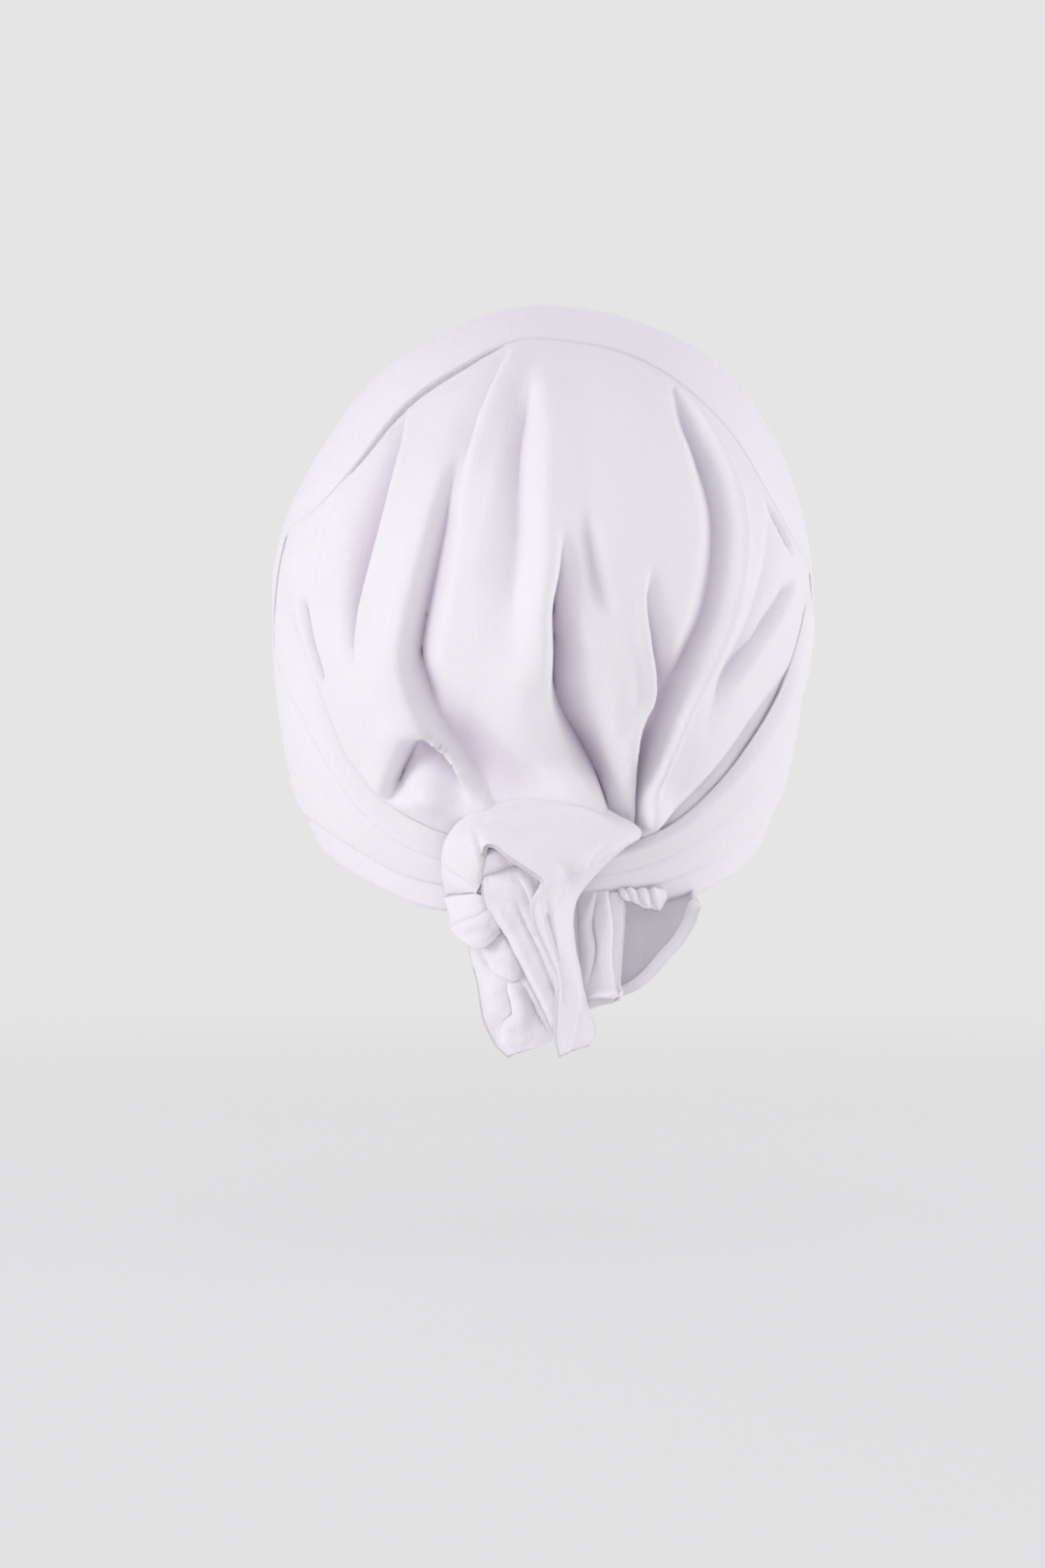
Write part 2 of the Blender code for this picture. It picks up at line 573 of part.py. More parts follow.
def knot_core():
    """The bunched cloth inside the knot."""
    points = [(0.0, 0.0, 1.0)]
    for ring in range(1, CORE_RINGS):
        polar = math.pi * ring / CORE_RINGS
        for k in range(CORE_SEGMENTS):
            turn = 2.0 * math.pi * k / CORE_SEGMENTS
            points.append(
                (math.sin(polar) * math.cos(turn), math.sin(polar) * math.sin(turn), math.cos(polar))
            )
    points.append((0.0, 0.0, -1.0))
    last = len(points) - 1
    faces = []
    for k in range(CORE_SEGMENTS):
        beside = (k + 1) % CORE_SEGMENTS
        faces.append((0, 1 + k, 1 + beside))
        faces.append((last, last - CORE_SEGMENTS + beside, last - CORE_SEGMENTS + k))
        for ring in range(CORE_RINGS - 2):
            row = 1 + ring * CORE_SEGMENTS
            below = row + CORE_SEGMENTS
            faces.append((row + k, below + k, below + beside, row + beside))
    shaped = np.array(points) * np.array(CORE_RADII) + np.array(CORE_CENTRE)
    return mesh_object("knot_core", shaped, faces, JERSEY_SHADE)


def main():
    clear_scene()
    front_panel()
    back_panel()
    tie("tie_left", TIE_LEFT_UPPER, TIE_LEFT_LOWER, TIE_LEFT_PLEATS)
    tie("tie_right", TIE_RIGHT_UPPER, TIE_RIGHT_LOWER, TIE_RIGHT_PLEATS)
    knot_core()
    strip("knot_wrap", WRAP_SECTIONS, WRAP_CELLS, JERSEY)
    strip("knot_band", KNOT_BAND_SECTIONS, BAND_CELLS, JERSEY)
    strip("tail_middle", MIDDLE_TAIL_SECTIONS, STRIP_CELLS, JERSEY)
    strip("tail_left", LEFT_TAIL_SECTIONS, STRIP_CELLS, JERSEY)
    knot_loop()


main()
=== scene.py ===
"""The looks of the jersey hair bonnet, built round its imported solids.

Lengths in the tables are in millimetres and angles in degrees, as in the part's own source, and MM turns
them into metres when a mesh is made. An azimuth is measured round the vertical from straight back (+Y, 0)
towards the wearer's left (+X, 90) and, negative, towards their right. The photograph looks at the back.
"""

import math
from collections import namedtuple

import bmesh
import bpy
import numpy as np
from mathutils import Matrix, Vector, noise


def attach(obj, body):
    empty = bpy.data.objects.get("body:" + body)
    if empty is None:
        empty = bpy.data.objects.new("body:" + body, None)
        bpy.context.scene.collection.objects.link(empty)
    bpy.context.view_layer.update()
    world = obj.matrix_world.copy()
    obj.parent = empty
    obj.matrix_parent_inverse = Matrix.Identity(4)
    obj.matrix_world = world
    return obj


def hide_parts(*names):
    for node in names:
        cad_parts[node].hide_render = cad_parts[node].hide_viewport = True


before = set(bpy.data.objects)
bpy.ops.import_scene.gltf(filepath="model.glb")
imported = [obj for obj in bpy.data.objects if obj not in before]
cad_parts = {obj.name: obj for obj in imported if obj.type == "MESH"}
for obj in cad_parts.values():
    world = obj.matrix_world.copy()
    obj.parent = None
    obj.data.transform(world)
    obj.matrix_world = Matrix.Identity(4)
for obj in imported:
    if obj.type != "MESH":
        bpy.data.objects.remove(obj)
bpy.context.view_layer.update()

MM = 0.001
TINY = 1e-12
LEAST_ANGLE = 1e-4

HEAD_CENTRE = np.array([0.0, 0.0, -95.0])
FORM_HALVINGS = 40
NORMAL_STEP = 0.5
CURVE_STEPS = 40

# How a fold's height falls away from its path, and how far its lip reaches.
FOLD_POINTS = 40
FOLD_GAIN = 1.1
CREST_SHARE = 0.55
LOW_SIDE_REACH = 1.6
LOW_SIDE_POWER = 1.4
LIP_REACH = 2.2

# The cloth's thickness, how far and how deep it is tucked under its neighbours, and where it comes out.
CLOTH = 1.3
SEAM_TUCK = 4.0
TIE_TUCK = 9.0
TUCKED_HEIGHT = -1.5
FLUSH_HEIGHT = 0.3
FLUSH_SHARE = 0.25
SEAM_RISE = 1.8
SEAM_CLOSED = 1.2
SEAM_GROOVE = 0.8
SEAM_GROOVE_WIDTH = 0.9
TUCK_RISE = 4.5
DRAPE_RISE = 7.0
GATHER_RISE = 5.0
CORNER_DROP = 0.8
CORNER_REACH = 5.0

# Painted shade: how deep in mm a fold sinks where the darker colour painted into its white is full, and the
# share of that painted shade laid all over the knot's core.
PAINTED_SHADE_DEPTH = 6.2
CORE_PAINTED_SHADE = 0.7

# The front panel over the form: its edge and the roll along the crown seam, and its turned hem.
FRONT_CLOTH = 1.5
FRONT_HEIGHT = 0.4
EDGE_RISE = 0.2
EDGE_WIDTH = 1.2
EDGE_PLACE = 1.6
ROLL_RISE = 0.7
ROLL_WIDTH = 1.6
EDGE_THINNING = 0.7
EDGE_THIN_END = 2.4
EDGE_THIN_FADE = 2.0
PULLS_FROM_HEM = 24.0
PULLS_FROM_SEAM = 14.0
HEM_WIDTH = 17.0
HEM_GROOVE = 0.6
HEM_GROOVE_WIDTH = 1.3
HEM_THICKENING = 0.6
HEM_THICK_END = 18.0
HEM_THICK_FADE = 1.5

# Cells along and across each piece of cloth. Each side seam has a share of the front panel's cells, and the
# back panel's crowd towards the middle of the head and towards the ends of each column.
FRONT_CELLS = (240, 90)
FRONT_SIDE_SHARE = 0.2
BACK_CELLS = (352, 134)
BACK_MIDDLE_SHARE = 0.34
BACK_CROWDING = 0.5
TIE_CELLS = (170, 84)
WRAP_CELLS = (210, 56)
TAIL_CELLS = (130, 48)
LOOP_CELLS = (210, 52)
BAND_CELLS = (80, 48)
RUFFLE_CELLS = (120, 20)
CORE_CELLS = (72, 120)

# The cloth's soft unevenness: its height, its bumps' width, how many times as tall they are, and a seed.
Ripple = namedtuple("Ripple", "height spacing tall seed")
FRONT_RIPPLES = (Ripple(0.25, 26.0, 1.6, 0.0),)
BACK_RIPPLES = (Ripple(0.8, 20.0, 2.4, 0.0), Ripple(0.32, 7.0, 2.2, 5.0))
TIE_RIPPLES = (Ripple(0.35, 18.0, 1.0, 9.0),)
KNOT_RIPPLES = (Ripple(1.0, 6.0, 1.5, 2.0), Ripple(0.5, 2.6, 1.0, 7.0))

# Where the front panel's edge rolls up along the crown seam: the azimuths where the roll starts, is full,
# begins to fade and ends, and its strength.
Roll = namedtuple("Roll", "start full fading end strength")
CROWN_ROLLS = (Roll(8, 22, 38, 48, 1.0), Roll(-14, -22, -36, -50, 0.12))

# Radius of the cloth from the head's centre at angles down from straight up, on four sides of the head.
FormRow = namedtuple("FormRow", "polar back left front right")
FORM = (
    FormRow(0, 95, 95, 95, 95),
    FormRow(20, 96, 92.5, 97, 95),
    FormRow(40, 99, 91.5, 100, 96),
    FormRow(60, 104, 90, 103, 94),
    FormRow(80, 107, 93.5, 102, 93.5),
    FormRow(100, 106, 97, 103, 96),
    FormRow(120, 101, 106, 108, 102.5),
    FormRow(135, 103, 118, 116, 114),
    FormRow(150, 115, 131, 128, 127),
    FormRow(165, 136, 150, 150, 146),
)

# Curves on the form, as (azimuth, height) pairs from the wearer's left to their right.
CROWN_SEAM = (
    (72, -83), (51, -73), (41, -58), (35, -44), (22, -29), (7, -19), (-8, -20), (-21, -23), (-33, -31),
    (-39, -39), (-46, -52), (-52, -69), (-61, -84), (-78, -96),
)
SIDE_SEAM_LEFT_END = (105, -181)
SIDE_SEAM_RIGHT_END = (-105, -181)
FRONT_HEM = (
    (115, -177), (127, -150), (144, -114), (162, -86), (180, -76), (198, -86), (216, -114), (233, -150),
    (245, -177),
)
FRONT_MIDDLE = (
    (110, -179), (106, -150), (102, -120), (98, -90), (100, -60), (114, -30), (150, -9), (180, -5),
    (210, -9), (246, -30), (260, -64), (262, -97), (258, -124), (254, -151), (250, -179),
)
GATHER_LINE = (
    (72, -83), (64, -105), (57, -122), (54, -140), (51, -160), (45, -174), (35, -183), (22, -189),
    (8, -192), (-8, -192), (-22, -189), (-38, -182), (-47, -170), (-54, -155), (-61, -137), (-66, -116),
    (-70, -106), (-78, -96),
)

# The ties' edges, from the side seam to the knot. The upper ones follow the gather line as far as the knot.
TIE_LEFT_UPPER = GATHER_LINE[:6] + ((36, -182), (21, -188))
TIE_LEFT_LOWER = ((105, -181), (97, -188), (88, -194), (75, -200), (61, -206), (48, -211), (24, -211))
TIE_RIGHT_UPPER = GATHER_LINE[:-8:-1] + ((-20, -190),)
TIE_RIGHT_LOWER = (
    (-105, -181), (-97, -189), (-88, -195), (-75, -202), (-60, -207), (-36, -209), (-7, -207),
)

# A fold follows a path on the form. Its cloth stands at left_height on the wearer's left of a path that
# runs down, at right_height on their right, and each side returns to the panel within its width. A low side
# falls all the way to the path, and a proud one rolls over a crest beside it. The step between the sides
# takes edge, and lip carries the higher side over the lower one. The low sides of a rounded fold have a
# soft floor. The rows of the path are azimuth, height, the share of the heights there and the growth of the
# widths there, which is 1 where a row has none.
FOLD_FIELDS = "left_height left_width right_height right_width edge lip path rounded"
Fold = namedtuple("Fold", FOLD_FIELDS, defaults=(False,))
BACK_FOLDS = {
    "left_pocket_pleat": Fold(-8.6, 10.5, 0.6, 6, 1.2, 0.6, (
        (33.5, -45, 0.3, 0.4), (31.5, -56, 0.8, 0.7), (31.5, -68, 1, 0.9), (33, -84, 1.1),
        (35.4, -98, 1.2, 0.85), (38, -110, 1.15, 0.6), (40, -122, 0.7, 0.35), (41, -132, 0, 0.3)), True),
    "left_side_crease": Fold(-1.4, 4, 1, 5, 1.4, 0.3, (
        (46, -62, 0, 0.8), (47, -76, 0.8, 0.9), (50, -92, 0.6, 0.9), (52, -108, 0, 0.8))),
    "left_long_pleat": Fold(3.2, 9, -7.6, 9, 1.8, 0.8, (
        (18, -58, 0, 0.5), (19.2, -70, 0.5, 0.6), (20.4, -81, 0.8, 0.8), (22, -93, 0.95, 0.9),
        (24.2, -106, 1.1, 0.9), (26.2, -117, 1.2, 0.9), (27.8, -126, 1.3), (27.6, -137, 1.3, 1.3),
        (25.6, -149, 1, 1.7), (22, -160, 0.7, 2), (17, -172, 0.3, 2))),
    "left_soft_dip": Fold(-3.4, 7, 2.6, 5, 1.8, 0.6, (
        (10, -24, 0.4, 0.8), (12, -37, 1, 0.9), (14, -49, 1), (15, -60, 0.7, 0.8), (16, -72, 0, 0.8))),
    "centre_left_dip": Fold(-4.4, 6, -4.4, 3.6, 1.6, 0, (
        (3, -36, 0.2, 0.7), (4, -46, 0.9, 0.7), (5, -58, 1.1, 0.8), (5, -70, 1, 0.9), (5, -84, 0.9, 1.2),
        (5.5, -100, 0.8, 1.5), (5.5, -116, 0.5, 1.6), (6, -130, 0, 1.6))),
    "centre_ridge": Fold(4, 5, 4, 6, 2, 0, (
        (-0.5, -30, 0.2, 0.9), (-0.8, -44, 0.8), (-0.8, -70, 1), (-0.3, -100, 0.9), (0, -116, 0.6),
        (0, -134, 0, 1.2))),
    "centre_edge": Fold(3.4, 8, -12.5, 9, 1.5, 2.4, (
        (-2, -84, 0, 0.4), (-2, -92, 0.45, 0.5), (-1.5, -100, 0.75, 0.7), (-0.5, -108, 0.95, 0.9),
        (-0.5, -127, 1.05, 1.1), (-0.5, -140, 1.05, 1.3), (-2.5, -149, 1.1, 1.3), (-7.5, -160, 1.1, 1.2),
        (-13.5, -170, 1), (-20, -184, 0.5, 0.9))),
    "small_right_dip": Fold(-3.4, 5, -3.4, 3, 1.4, 0, (
        (-7, -76, 0, 0.9), (-8, -88, 1), (-9, -99, 1.1), (-11, -109, 0.9), (-14, -122, 0))),
    "right_column": Fold(2.4, 6, 2.4, 6, 2, 0, (
        (-10, -104, 0, 0.9), (-11, -113, 0.6), (-15, -133, 1), (-17, -153, 1.1), (-21, -184, 0.9, 0.8))),
    "column_edge": Fold(2.4, 4, -10.5, 7.5, 1.3, 1, (
        (-19, -96, 0, 0.6), (-18.5, -108, 0.5, 0.7), (-20, -120, 0.8, 0.8), (-22.5, -132, 1, 0.8),
        (-23.5, -140, 1, 0.8), (-21.6, -148, 1.1, 0.8), (-22, -157, 1.2, 0.8), (-25, -170, 1.1, 0.6),
        (-28, -184, 0.8, 0.5))),
    "right_long_pleat": Fold(-8, 9, 5.2, 4.6, 2.3, 0, (
        (-34, -38, 0.3, 0.5), (-34.5, -48, 0.8, 0.7), (-36, -62, 1, 0.9), (-37, -80, 1), (-36, -97, 1),
        (-34.5, -112, 1), (-32, -126, 1.1, 0.9), (-30, -138, 1.15, 0.8), (-28.5, -150, 1.2, 0.7),
        (-27.5, -162, 1.3, 0.6), (-27.5, -174, 1, 0.5), (-29, -184, 0.6, 0.5))),
    "right_soft_dip": Fold(-3.2, 5, -3.2, 5, 1.6, 0, (
        (-52, -70, 0, 0.8), (-50, -86, 0.7, 0.9), (-47, -100, 0.9, 0.9), (-44, -114, 1, 0.9),
        (-41, -130, 1, 0.9), (-38, -152, 0, 0.9))),
    "right_side_dip": Fold(-5.4, 7, 1.4, 5, 1.4, 0.6, (
        (-63, -97, 0, 0.8), (-58, -104, 0.8, 0.9), (-51, -115, 1), (-45, -127, 0.9, 0.8),
        (-39, -142, 0, 0.8))),
    "under_tie_dip": Fold(-2.6, 4, -3.4, 3, 1.4, 0, (
        (-63, -128, 0, 0.9), (-59, -139, 0.8, 0.9), (-54, -150, 1), (-49, -161, 1.1),
        (-44, -171, 1.2, 0.9), (-36, -183, 1, 0.8))),
    "pocket_left_side": Fold(2.6, 6, -9, 8, 0.9, 0.8, (
        (26, -151, 0, 0.7), (29.5, -151.5, 0.8, 0.9), (32.5, -154, 1.1), (36.5, -160, 1.1),
        (41.5, -168, 1, 0.9), (45, -175, 0, 0.6))),
    "pocket_right_side": Fold(-8.5, 8, 1.8, 5, 0.9, 0.3, (
        (31.5, -150.5, 0, 0.7), (28.5, -152.5, 0.8, 0.9), (26, -156, 1.1), (24, -161, 1.1),
        (22.5, -167, 0.8, 0.8), (20, -174, 0, 0.7)), True),
    "left_edge_slit": Fold(1.4, 3.4, -3.4, 3.4, 0.8, 0.6, (
        (58, -101, 0, 0.8), (56.4, -108, 1, 0.9), (54.8, -118, 1, 0.9), (53, -129, 0.8, 0.8),
        (52, -136, 0, 0.8))),
    "right_corner_pucker": Fold(-1.8, 3.5, 1.6, 4, 1, 0.4, (
        (-50, -70, 0, 0.8), (-54, -78, 1, 0.9), (-58, -86, 0.9, 0.9), (-63, -93, 0, 0.8))),
}

# Soft folds that the ties pull into the front panel, as on the back panel.
FRONT_FOLDS = {
    "left_low_pull": Fold(-0.9, 6, 1.3, 7, 2.5, 0, (
        (95, -150, 0.2, 0.7), (106, -136, 1, 0.9), (120, -116, 0.9, 1.1), (136, -92, 0.5, 1.2),
        (150, -76, 0, 1.2))),
    "left_middle_pull": Fold(1.2, 7, -0.9, 6, 2.5, 0, (
        (90, -130, 0.2, 0.7), (100, -112, 1, 0.9), (112, -90, 0.9, 1.1), (128, -64, 0.4, 1.2),
        (144, -48, 0, 1.2))),
    "left_high_pull": Fold(-0.8, 6, 1, 8, 2.5, 0, (
        (82, -106, 0.2, 0.7), (90, -88, 0.9, 0.9), (100, -66, 0.8, 1.1), (114, -42, 0, 1.2))),
    "right_low_pull": Fold(1.3, 7, -0.9, 6, 2.5, 0, (
        (-96, -152, 0.2, 0.7), (-108, -134, 1, 0.9), (-122, -112, 0.9, 1.1), (-140, -88, 0.5, 1.2),
        (-154, -72, 0, 1.2))),
    "right_middle_pull": Fold(-0.9, 6, 1.1, 7, 2.5, 0, (
        (-91, -134, 0.2, 0.7), (-102, -110, 0.9, 0.9), (-116, -84, 0.9, 1.1), (-132, -60, 0, 1.2))),
    "right_high_pull": Fold(1, 8, -0.7, 6, 2.5, 0, (
        (-86, -112, 0.2, 0.7), (-94, -92, 0.9, 0.9), (-106, -64, 0.7, 1.1), (-120, -40, 0, 1.2))),
}

# A bulge is a round rise of the back panel.
Bulge = namedtuple("Bulge", "azimuth height width tall rise")
BACK_BULGES = {
    "hanging_cloth": Bulge(37, -140, 24, 18, 2.4),
    "below_pocket": Bulge(34, -172, 20, 7, 2.4),
    "middle_fullness": Bulge(9, -145, 26, 24, 2.2),
    "right_fullness": Bulge(-44, -95, 20, 32, 1.6),
    "knot_fullness": Bulge(-31, -178, 6, 8, 6),
    "pocket_tongue": Bulge(29.5, -170, 6.5, 5.5, 4.6),
    "pocket_roof": Bulge(29, -146, 12, 5, 1.6),
    "long_pleat_hollow": Bulge(17, -152, 12, 12, -3),
    "underside": Bulge(5, -163, 26, 9, -3.8),
    "under_knot": Bulge(2, -182, 26, 7, 1),
}

# Pleats across a tie: the share of its width at the side seam and at the knot where one pleat ends and the
# next begins, how far the cloth drops there, and how sharply, as a share of the width.
Pleat = namedtuple("Pleat", "at_seam at_knot drop edge")
TieShape = namedtuple("TieShape", "edge_height rise upper_roll lower_roll pleats")
TIE_SHAPES = {
    "tie_left": TieShape(
        0.85, 2.6, 0.40, 0.08, (Pleat(0.30, 0.34, 1.5, 0.08), Pleat(0.88, 0.62, 3.8, 0.03)),
    ),
    "tie_right": TieShape(
        1.4, 2.8, 0.14, 0.08, (Pleat(0.34, 0.46, 4.6, 0.03), Pleat(0.70, 0.80, 2.8, 0.04)),
    ),
}
PLEAT_REACH = 0.14
LOWER_ROLL = 0.9
TIE_EDGE_CLOTH = 0.5
TIE_EDGE_TAPER = 0.06

# A tie comes out from under the front panel, rises over a short way, and is full further on.
TIE_OUT = 0.2
TIE_RISE = 9.0
TIE_FULL = 50.0
TIE_FIRST_SHARE = 0.3
TUCK_SHARES = (1.0, 0.75, 0.5, 0.25)

# The sections of each strip of the knot: x, y and z of one edge, of the other, and the bow between them.
WRAP_SECTIONS = (
    (33, 52.5, -206, 23, 70, -205, 3), (34.5, 58.5, -198, 21.5, 77, -200, 4),
    (33.5, 65, -189, 21, 81.5, -194, 4), (28, 65.5, -181.5, 20, 84.5, -189.5, 4),
    (21, 66, -177.5, 17, 86.5, -189.5, 3.5), (10, 68, -174.8, 12, 88, -193, 4),
    (-2, 69, -174, 7.5, 88.5, -196, 4.5), (-14, 68, -175, 3.5, 88, -198.5, 5),
    (-24, 65, -179.6, 1, 86.5, -201, 4.5), (-32.2, 64.5, -185, 1.5, 84.5, -203.5, 3.5),
    (-27, 64.5, -189.5, 3, 83, -206, 3.5), (-19, 62.5, -197, 4.2, 81, -209, 3),
    (-12, 61.5, -204.5, 4.3, 79, -212.5, 2.5), (-9, 63, -213, 3.2, 76.5, -217.5, 1.8),
    (-9.5, 64.5, -223, 0.2, 74, -224.5, 1.5), (-11.5, 65.5, -233, -3.2, 72, -233, 1.2),
    (-13.8, 65.5, -243, -4.3, 71, -243, 1.2), (-16.5, 65, -253, -4, 70, -254, 1),
    (-14.5, 65, -257, -5, 69, -260.5, 0.6),
)
MIDDLE_TAIL_SECTIONS = (
    (20.5, 75, -197, 8, 75.5, -192.5, 1), (20.5, 77, -203, 3, 78.5, -201, 1.5),
    (19.5, 74.5, -209.5, 1, 75.5, -208.5, 1.5), (14, 72, -217, -1, 73, -216, 1.5),
    (8.5, 70.5, -227, -3.5, 71, -226, 1.5), (3.5, 68.5, -237, -6.5, 68, -236, 1.2),
    (-0.5, 67.5, -246, -9, 65.5, -246, 1), (-3, 66.5, -253.5, -10, 64, -253, 0.6),
)
LEFT_TAIL_SECTIONS = (
    (29, 63, -211, 12.5, 67.8, -209, 1.2), (26, 64, -221, 9.5, 67, -219, 2),
    (23.7, 61.5, -230, 5.5, 65, -229, 3.5), (22, 62, -239, 1.5, 63, -238, 3.5),
    (20.5, 62, -248, -2.5, 61, -247, 3), (17, 61.5, -256.5, -3.5, 60.5, -253.5, 2),
    (12.5, 61, -261, 1, 60.5, -257.5, 1),
)
KNOT_BAND_SECTIONS = (
    (33.8, 57.5, -207.8, 31.5, 59.5, -216, 1.5), (28.5, 65, -206.9, 27.5, 67.5, -221, 2.5),
    (22, 70.6, -206.5, 21.5, 70.5, -223.5, 2.5), (16.5, 71, -210.5, 15.5, 70, -218.5, 1.5),
)
LOOP_SECTIONS = (
    (-27.5, 51.5, -206.5, -25, 59, -240.5, 2.5), (-21, 53, -206, -20, 60.5, -241.5, 2.5),
    (-15, 53.5, -206, -15, 60.5, -243, 2), (-9.5, 53, -206, -10.5, 59, -244.5, 1.5),
    (-8, 49.5, -206, -9, 55.5, -245.5, 1), (-12, 46, -206.5, -13, 52, -245, 0),
    (-23, 42, -206.5, -22, 48.5, -241.5, -3.5), (-34, 38, -206.5, -32, 48, -237, -4.5),
    (-43.5, 34.5, -206, -41.5, 46.5, -227.5, -3.5), (-50, 33, -206, -48.5, 45.5, -218.5, -1.5),
    (-52, 36.5, -206, -51.8, 46, -210, 0),
)
RUFFLE_SECTIONS = (
    (-25.6, 53.2, -205, -26, 53.8, -206.8, 0.3), (-28, 52.4, -205, -28.4, 53.4, -208.4, 0.8),
    (-30.6, 51.6, -205, -31.4, 52.6, -209.6, 0.6), (-33.2, 50.6, -205, -34.2, 52, -211.2, 1),
    (-35.8, 49.6, -205, -36.8, 50.2, -211.4, 0.6), (-38.4, 48.4, -205, -39.4, 49.6, -211.8, 1),
    (-41.2, 46.6, -205, -42, 46.8, -208, 0.3),
)

# Folds in the knot's cloth, as on the back panel, with paths through places across (x) and up (z) that the
# photograph's view shows. A path that runs towards the wearer's right has its left side below it.
KNOT_FOLDS = {
    "knot_wrap": (
        Fold(1, 3, -1.4, 3, 0.7, 0, ((24.4, -184, 0), (23.2, -188, 1), (21.8, -193, 1), (21.6, -198, 1),
            (22.8, -203, 0))),
        Fold(-1.5, 2.6, 0.8, 2.6, 0.7, 0, ((34, -196, 0), (31, -198.5, 1), (27, -200.5, 1),
            (23.5, -202.8, 0.4))),
        Fold(1, 3.5, 1, 3.5, 1, 0, ((24, -181.5, 0), (11, -179, 1), (-2, -178.5, 1), (-15, -180, 1),
            (-24, -184, 0.3))),
        Fold(-1.4, 4, -1.4, 4, 1, 0, ((8, -187, 0), (0, -192, 0.7), (-6, -197, 1), (-8, -203, 1),
            (-8, -212, 0))),
        Fold(1.2, 2.5, -0.8, 3, 0.8, 0, ((-22, -186, 0), (-14, -195, 1), (-8.5, -203, 1), (-7, -211, 0))),
        Fold(-0.9, 1.6, 0.7, 1.8, 0.5, 0, ((-0.4, -206, 0), (-1.2, -212, 1), (-2.5, -219, 1),
            (-4.5, -228, 0))),
        Fold(0.5, 2.6, -0.4, 3, 1.2, 0, ((-10, -232, 0), (-11.5, -240, 0.8), (-10.5, -248, 1),
            (-8.5, -258, 1))),
        Fold(1.3, 2.2, -0.6, 2, 0.7, 0.4, ((2.4, -207, 0), (2, -214, 1), (-0.4, -222, 1), (-3.4, -231, 1),
            (-5, -240, 0.4))),
    ),
    "tail_middle": (
        Fold(1, 1.8, 1.4, 2.4, 0.6, 0, ((17.6, -208, 0), (13, -216, 1), (7.2, -227.5, 1), (2, -238, 1),
            (-2.6, -249, 0.4))),
        Fold(0, 2, -1.8, 2.4, 0.7, 0, ((11, -206, 0), (8, -215, 1), (3, -226, 1), (-2, -238, 0.6))),
        Fold(-0.6, 2, 1.3, 2, 0.6, 0.3, ((8.6, -200, 0.2), (5.6, -205, 1), (3.5, -212, 1), (1.6, -221, 1),
            (-2.5, -231, 0.6))),
    ),
    "tail_left": (
        Fold(1.4, 3.2, -2.6, 3, 0.7, 0.5, ((14.5, -218, 0, 0.6), (12.5, -222, 1, 0.9), (10, -226, 1.1),
            (8.4, -230.5, 0.8), (7.6, -233, 0))),
        Fold(-2, 3, 1.5, 3.4, 0.7, 0.6, ((20, -229, 0, 0.8), (17.6, -231.5, 1), (14.4, -233.6, 1),
            (10.6, -235.2, 1), (7.4, -233.4, 0.4, 0.8))),
        Fold(-3, 4, 1.5, 3, 0.7, 0.6, ((12.4, -236, 0, 0.8), (12, -239, 0.8, 0.9), (10.6, -243, 1),
            (10.3, -247.5, 1.1), (13, -249.6, 0.8, 0.8), (13.8, -254, 0.2, 0.7))),
        Fold(0.8, 2.2, -1.2, 2.6, 0.7, 0, ((22.4, -224, 0), (20.8, -229, 1), (17.6, -232, 0.6))),
        Fold(-1.6, 2, 1, 2.2, 0.6, 0.3, ((7.6, -235, 0), (4.8, -240.5, 1), (2, -246, 1),
            (-0.8, -251, 0.6))),
        Fold(0.9, 2.4, 0.9, 2.4, 0.8, 0, ((8, -240, 0), (7.4, -247, 1), (8, -255, 0.8))),
    ),
    "knot_band": (
        Fold(1.3, 2.4, -1.4, 2, 0.6, 0.4, ((30.6, -217.4, 0.6, 0.8), (26.6, -215.4, 1), (22, -213.4, 1),
            (18.6, -211.8, 1), (16.4, -214.6, 0.6, 0.8))),
        Fold(0.8, 2, 0.8, 2, 0.7, 0, ((28.5, -221, 0), (24.5, -221.5, 1), (19, -219.5, 0.6))),
    ),
    "knot_loop": (
        Fold(-3.4, 2.2, -3.4, 2, 0.7, 0, ((-11.2, -209.5, 0.5, 0.8), (-11, -216, 1), (-11.4, -224, 1),
            (-12.6, -232, 0.4))),
        Fold(2, 2, -3.6, 1.8, 0.6, 0.5, ((-16.8, -209.5, 0.5, 0.8), (-15.6, -217, 1), (-16.8, -224.6, 1),
            (-15.4, -232, 0.7), (-13.8, -238, 0))),
        Fold(2.6, 2.4, -2.6, 2.6, 0.5, 0.9, ((-21.4, -209, 0.5, 0.8), (-22, -218, 1), (-21.6, -228, 1),
            (-22.6, -238, 0.7))),
    ),
    "loop_ruffle": (
        Fold(-0.8, 1.2, 0.7, 1.4, 0.4, 0, ((-28.6, -205.6, 1), (-29.6, -207.4, 1), (-30.8, -209.2, 0.3))),
        Fold(-0.9, 1.3, 0.8, 1.4, 0.4, 0, ((-32.4, -205.6, 1), (-33.4, -208.2, 1), (-35.2, -210.6, 0.3))),
        Fold(-0.8, 1.2, 0.7, 1.3, 0.4, 0, ((-36.4, -205.6, 1), (-37.2, -208, 1), (-38.6, -211, 0.3))),
    ),
    "knot_core": (
        Fold(-3, 5, 6, 7, 0.8, 2, ((22.4, -199, 1), (15.4, -196.8, 1), (10.2, -195, 1), (3, -194, 0.8))),
        Fold(-1.8, 2, 1, 2.2, 0.6, 0, ((14.5, -186, 0.6), (13.6, -190, 1), (11.6, -194, 0.6))),
    ),
}

# A place of such a path is the nearest point that faces the view. One that faces away counts as far off,
# and of two points in line the one nearer to the view is taken.
FACING_AWAY = 1000.0
NEARNESS = 0.02

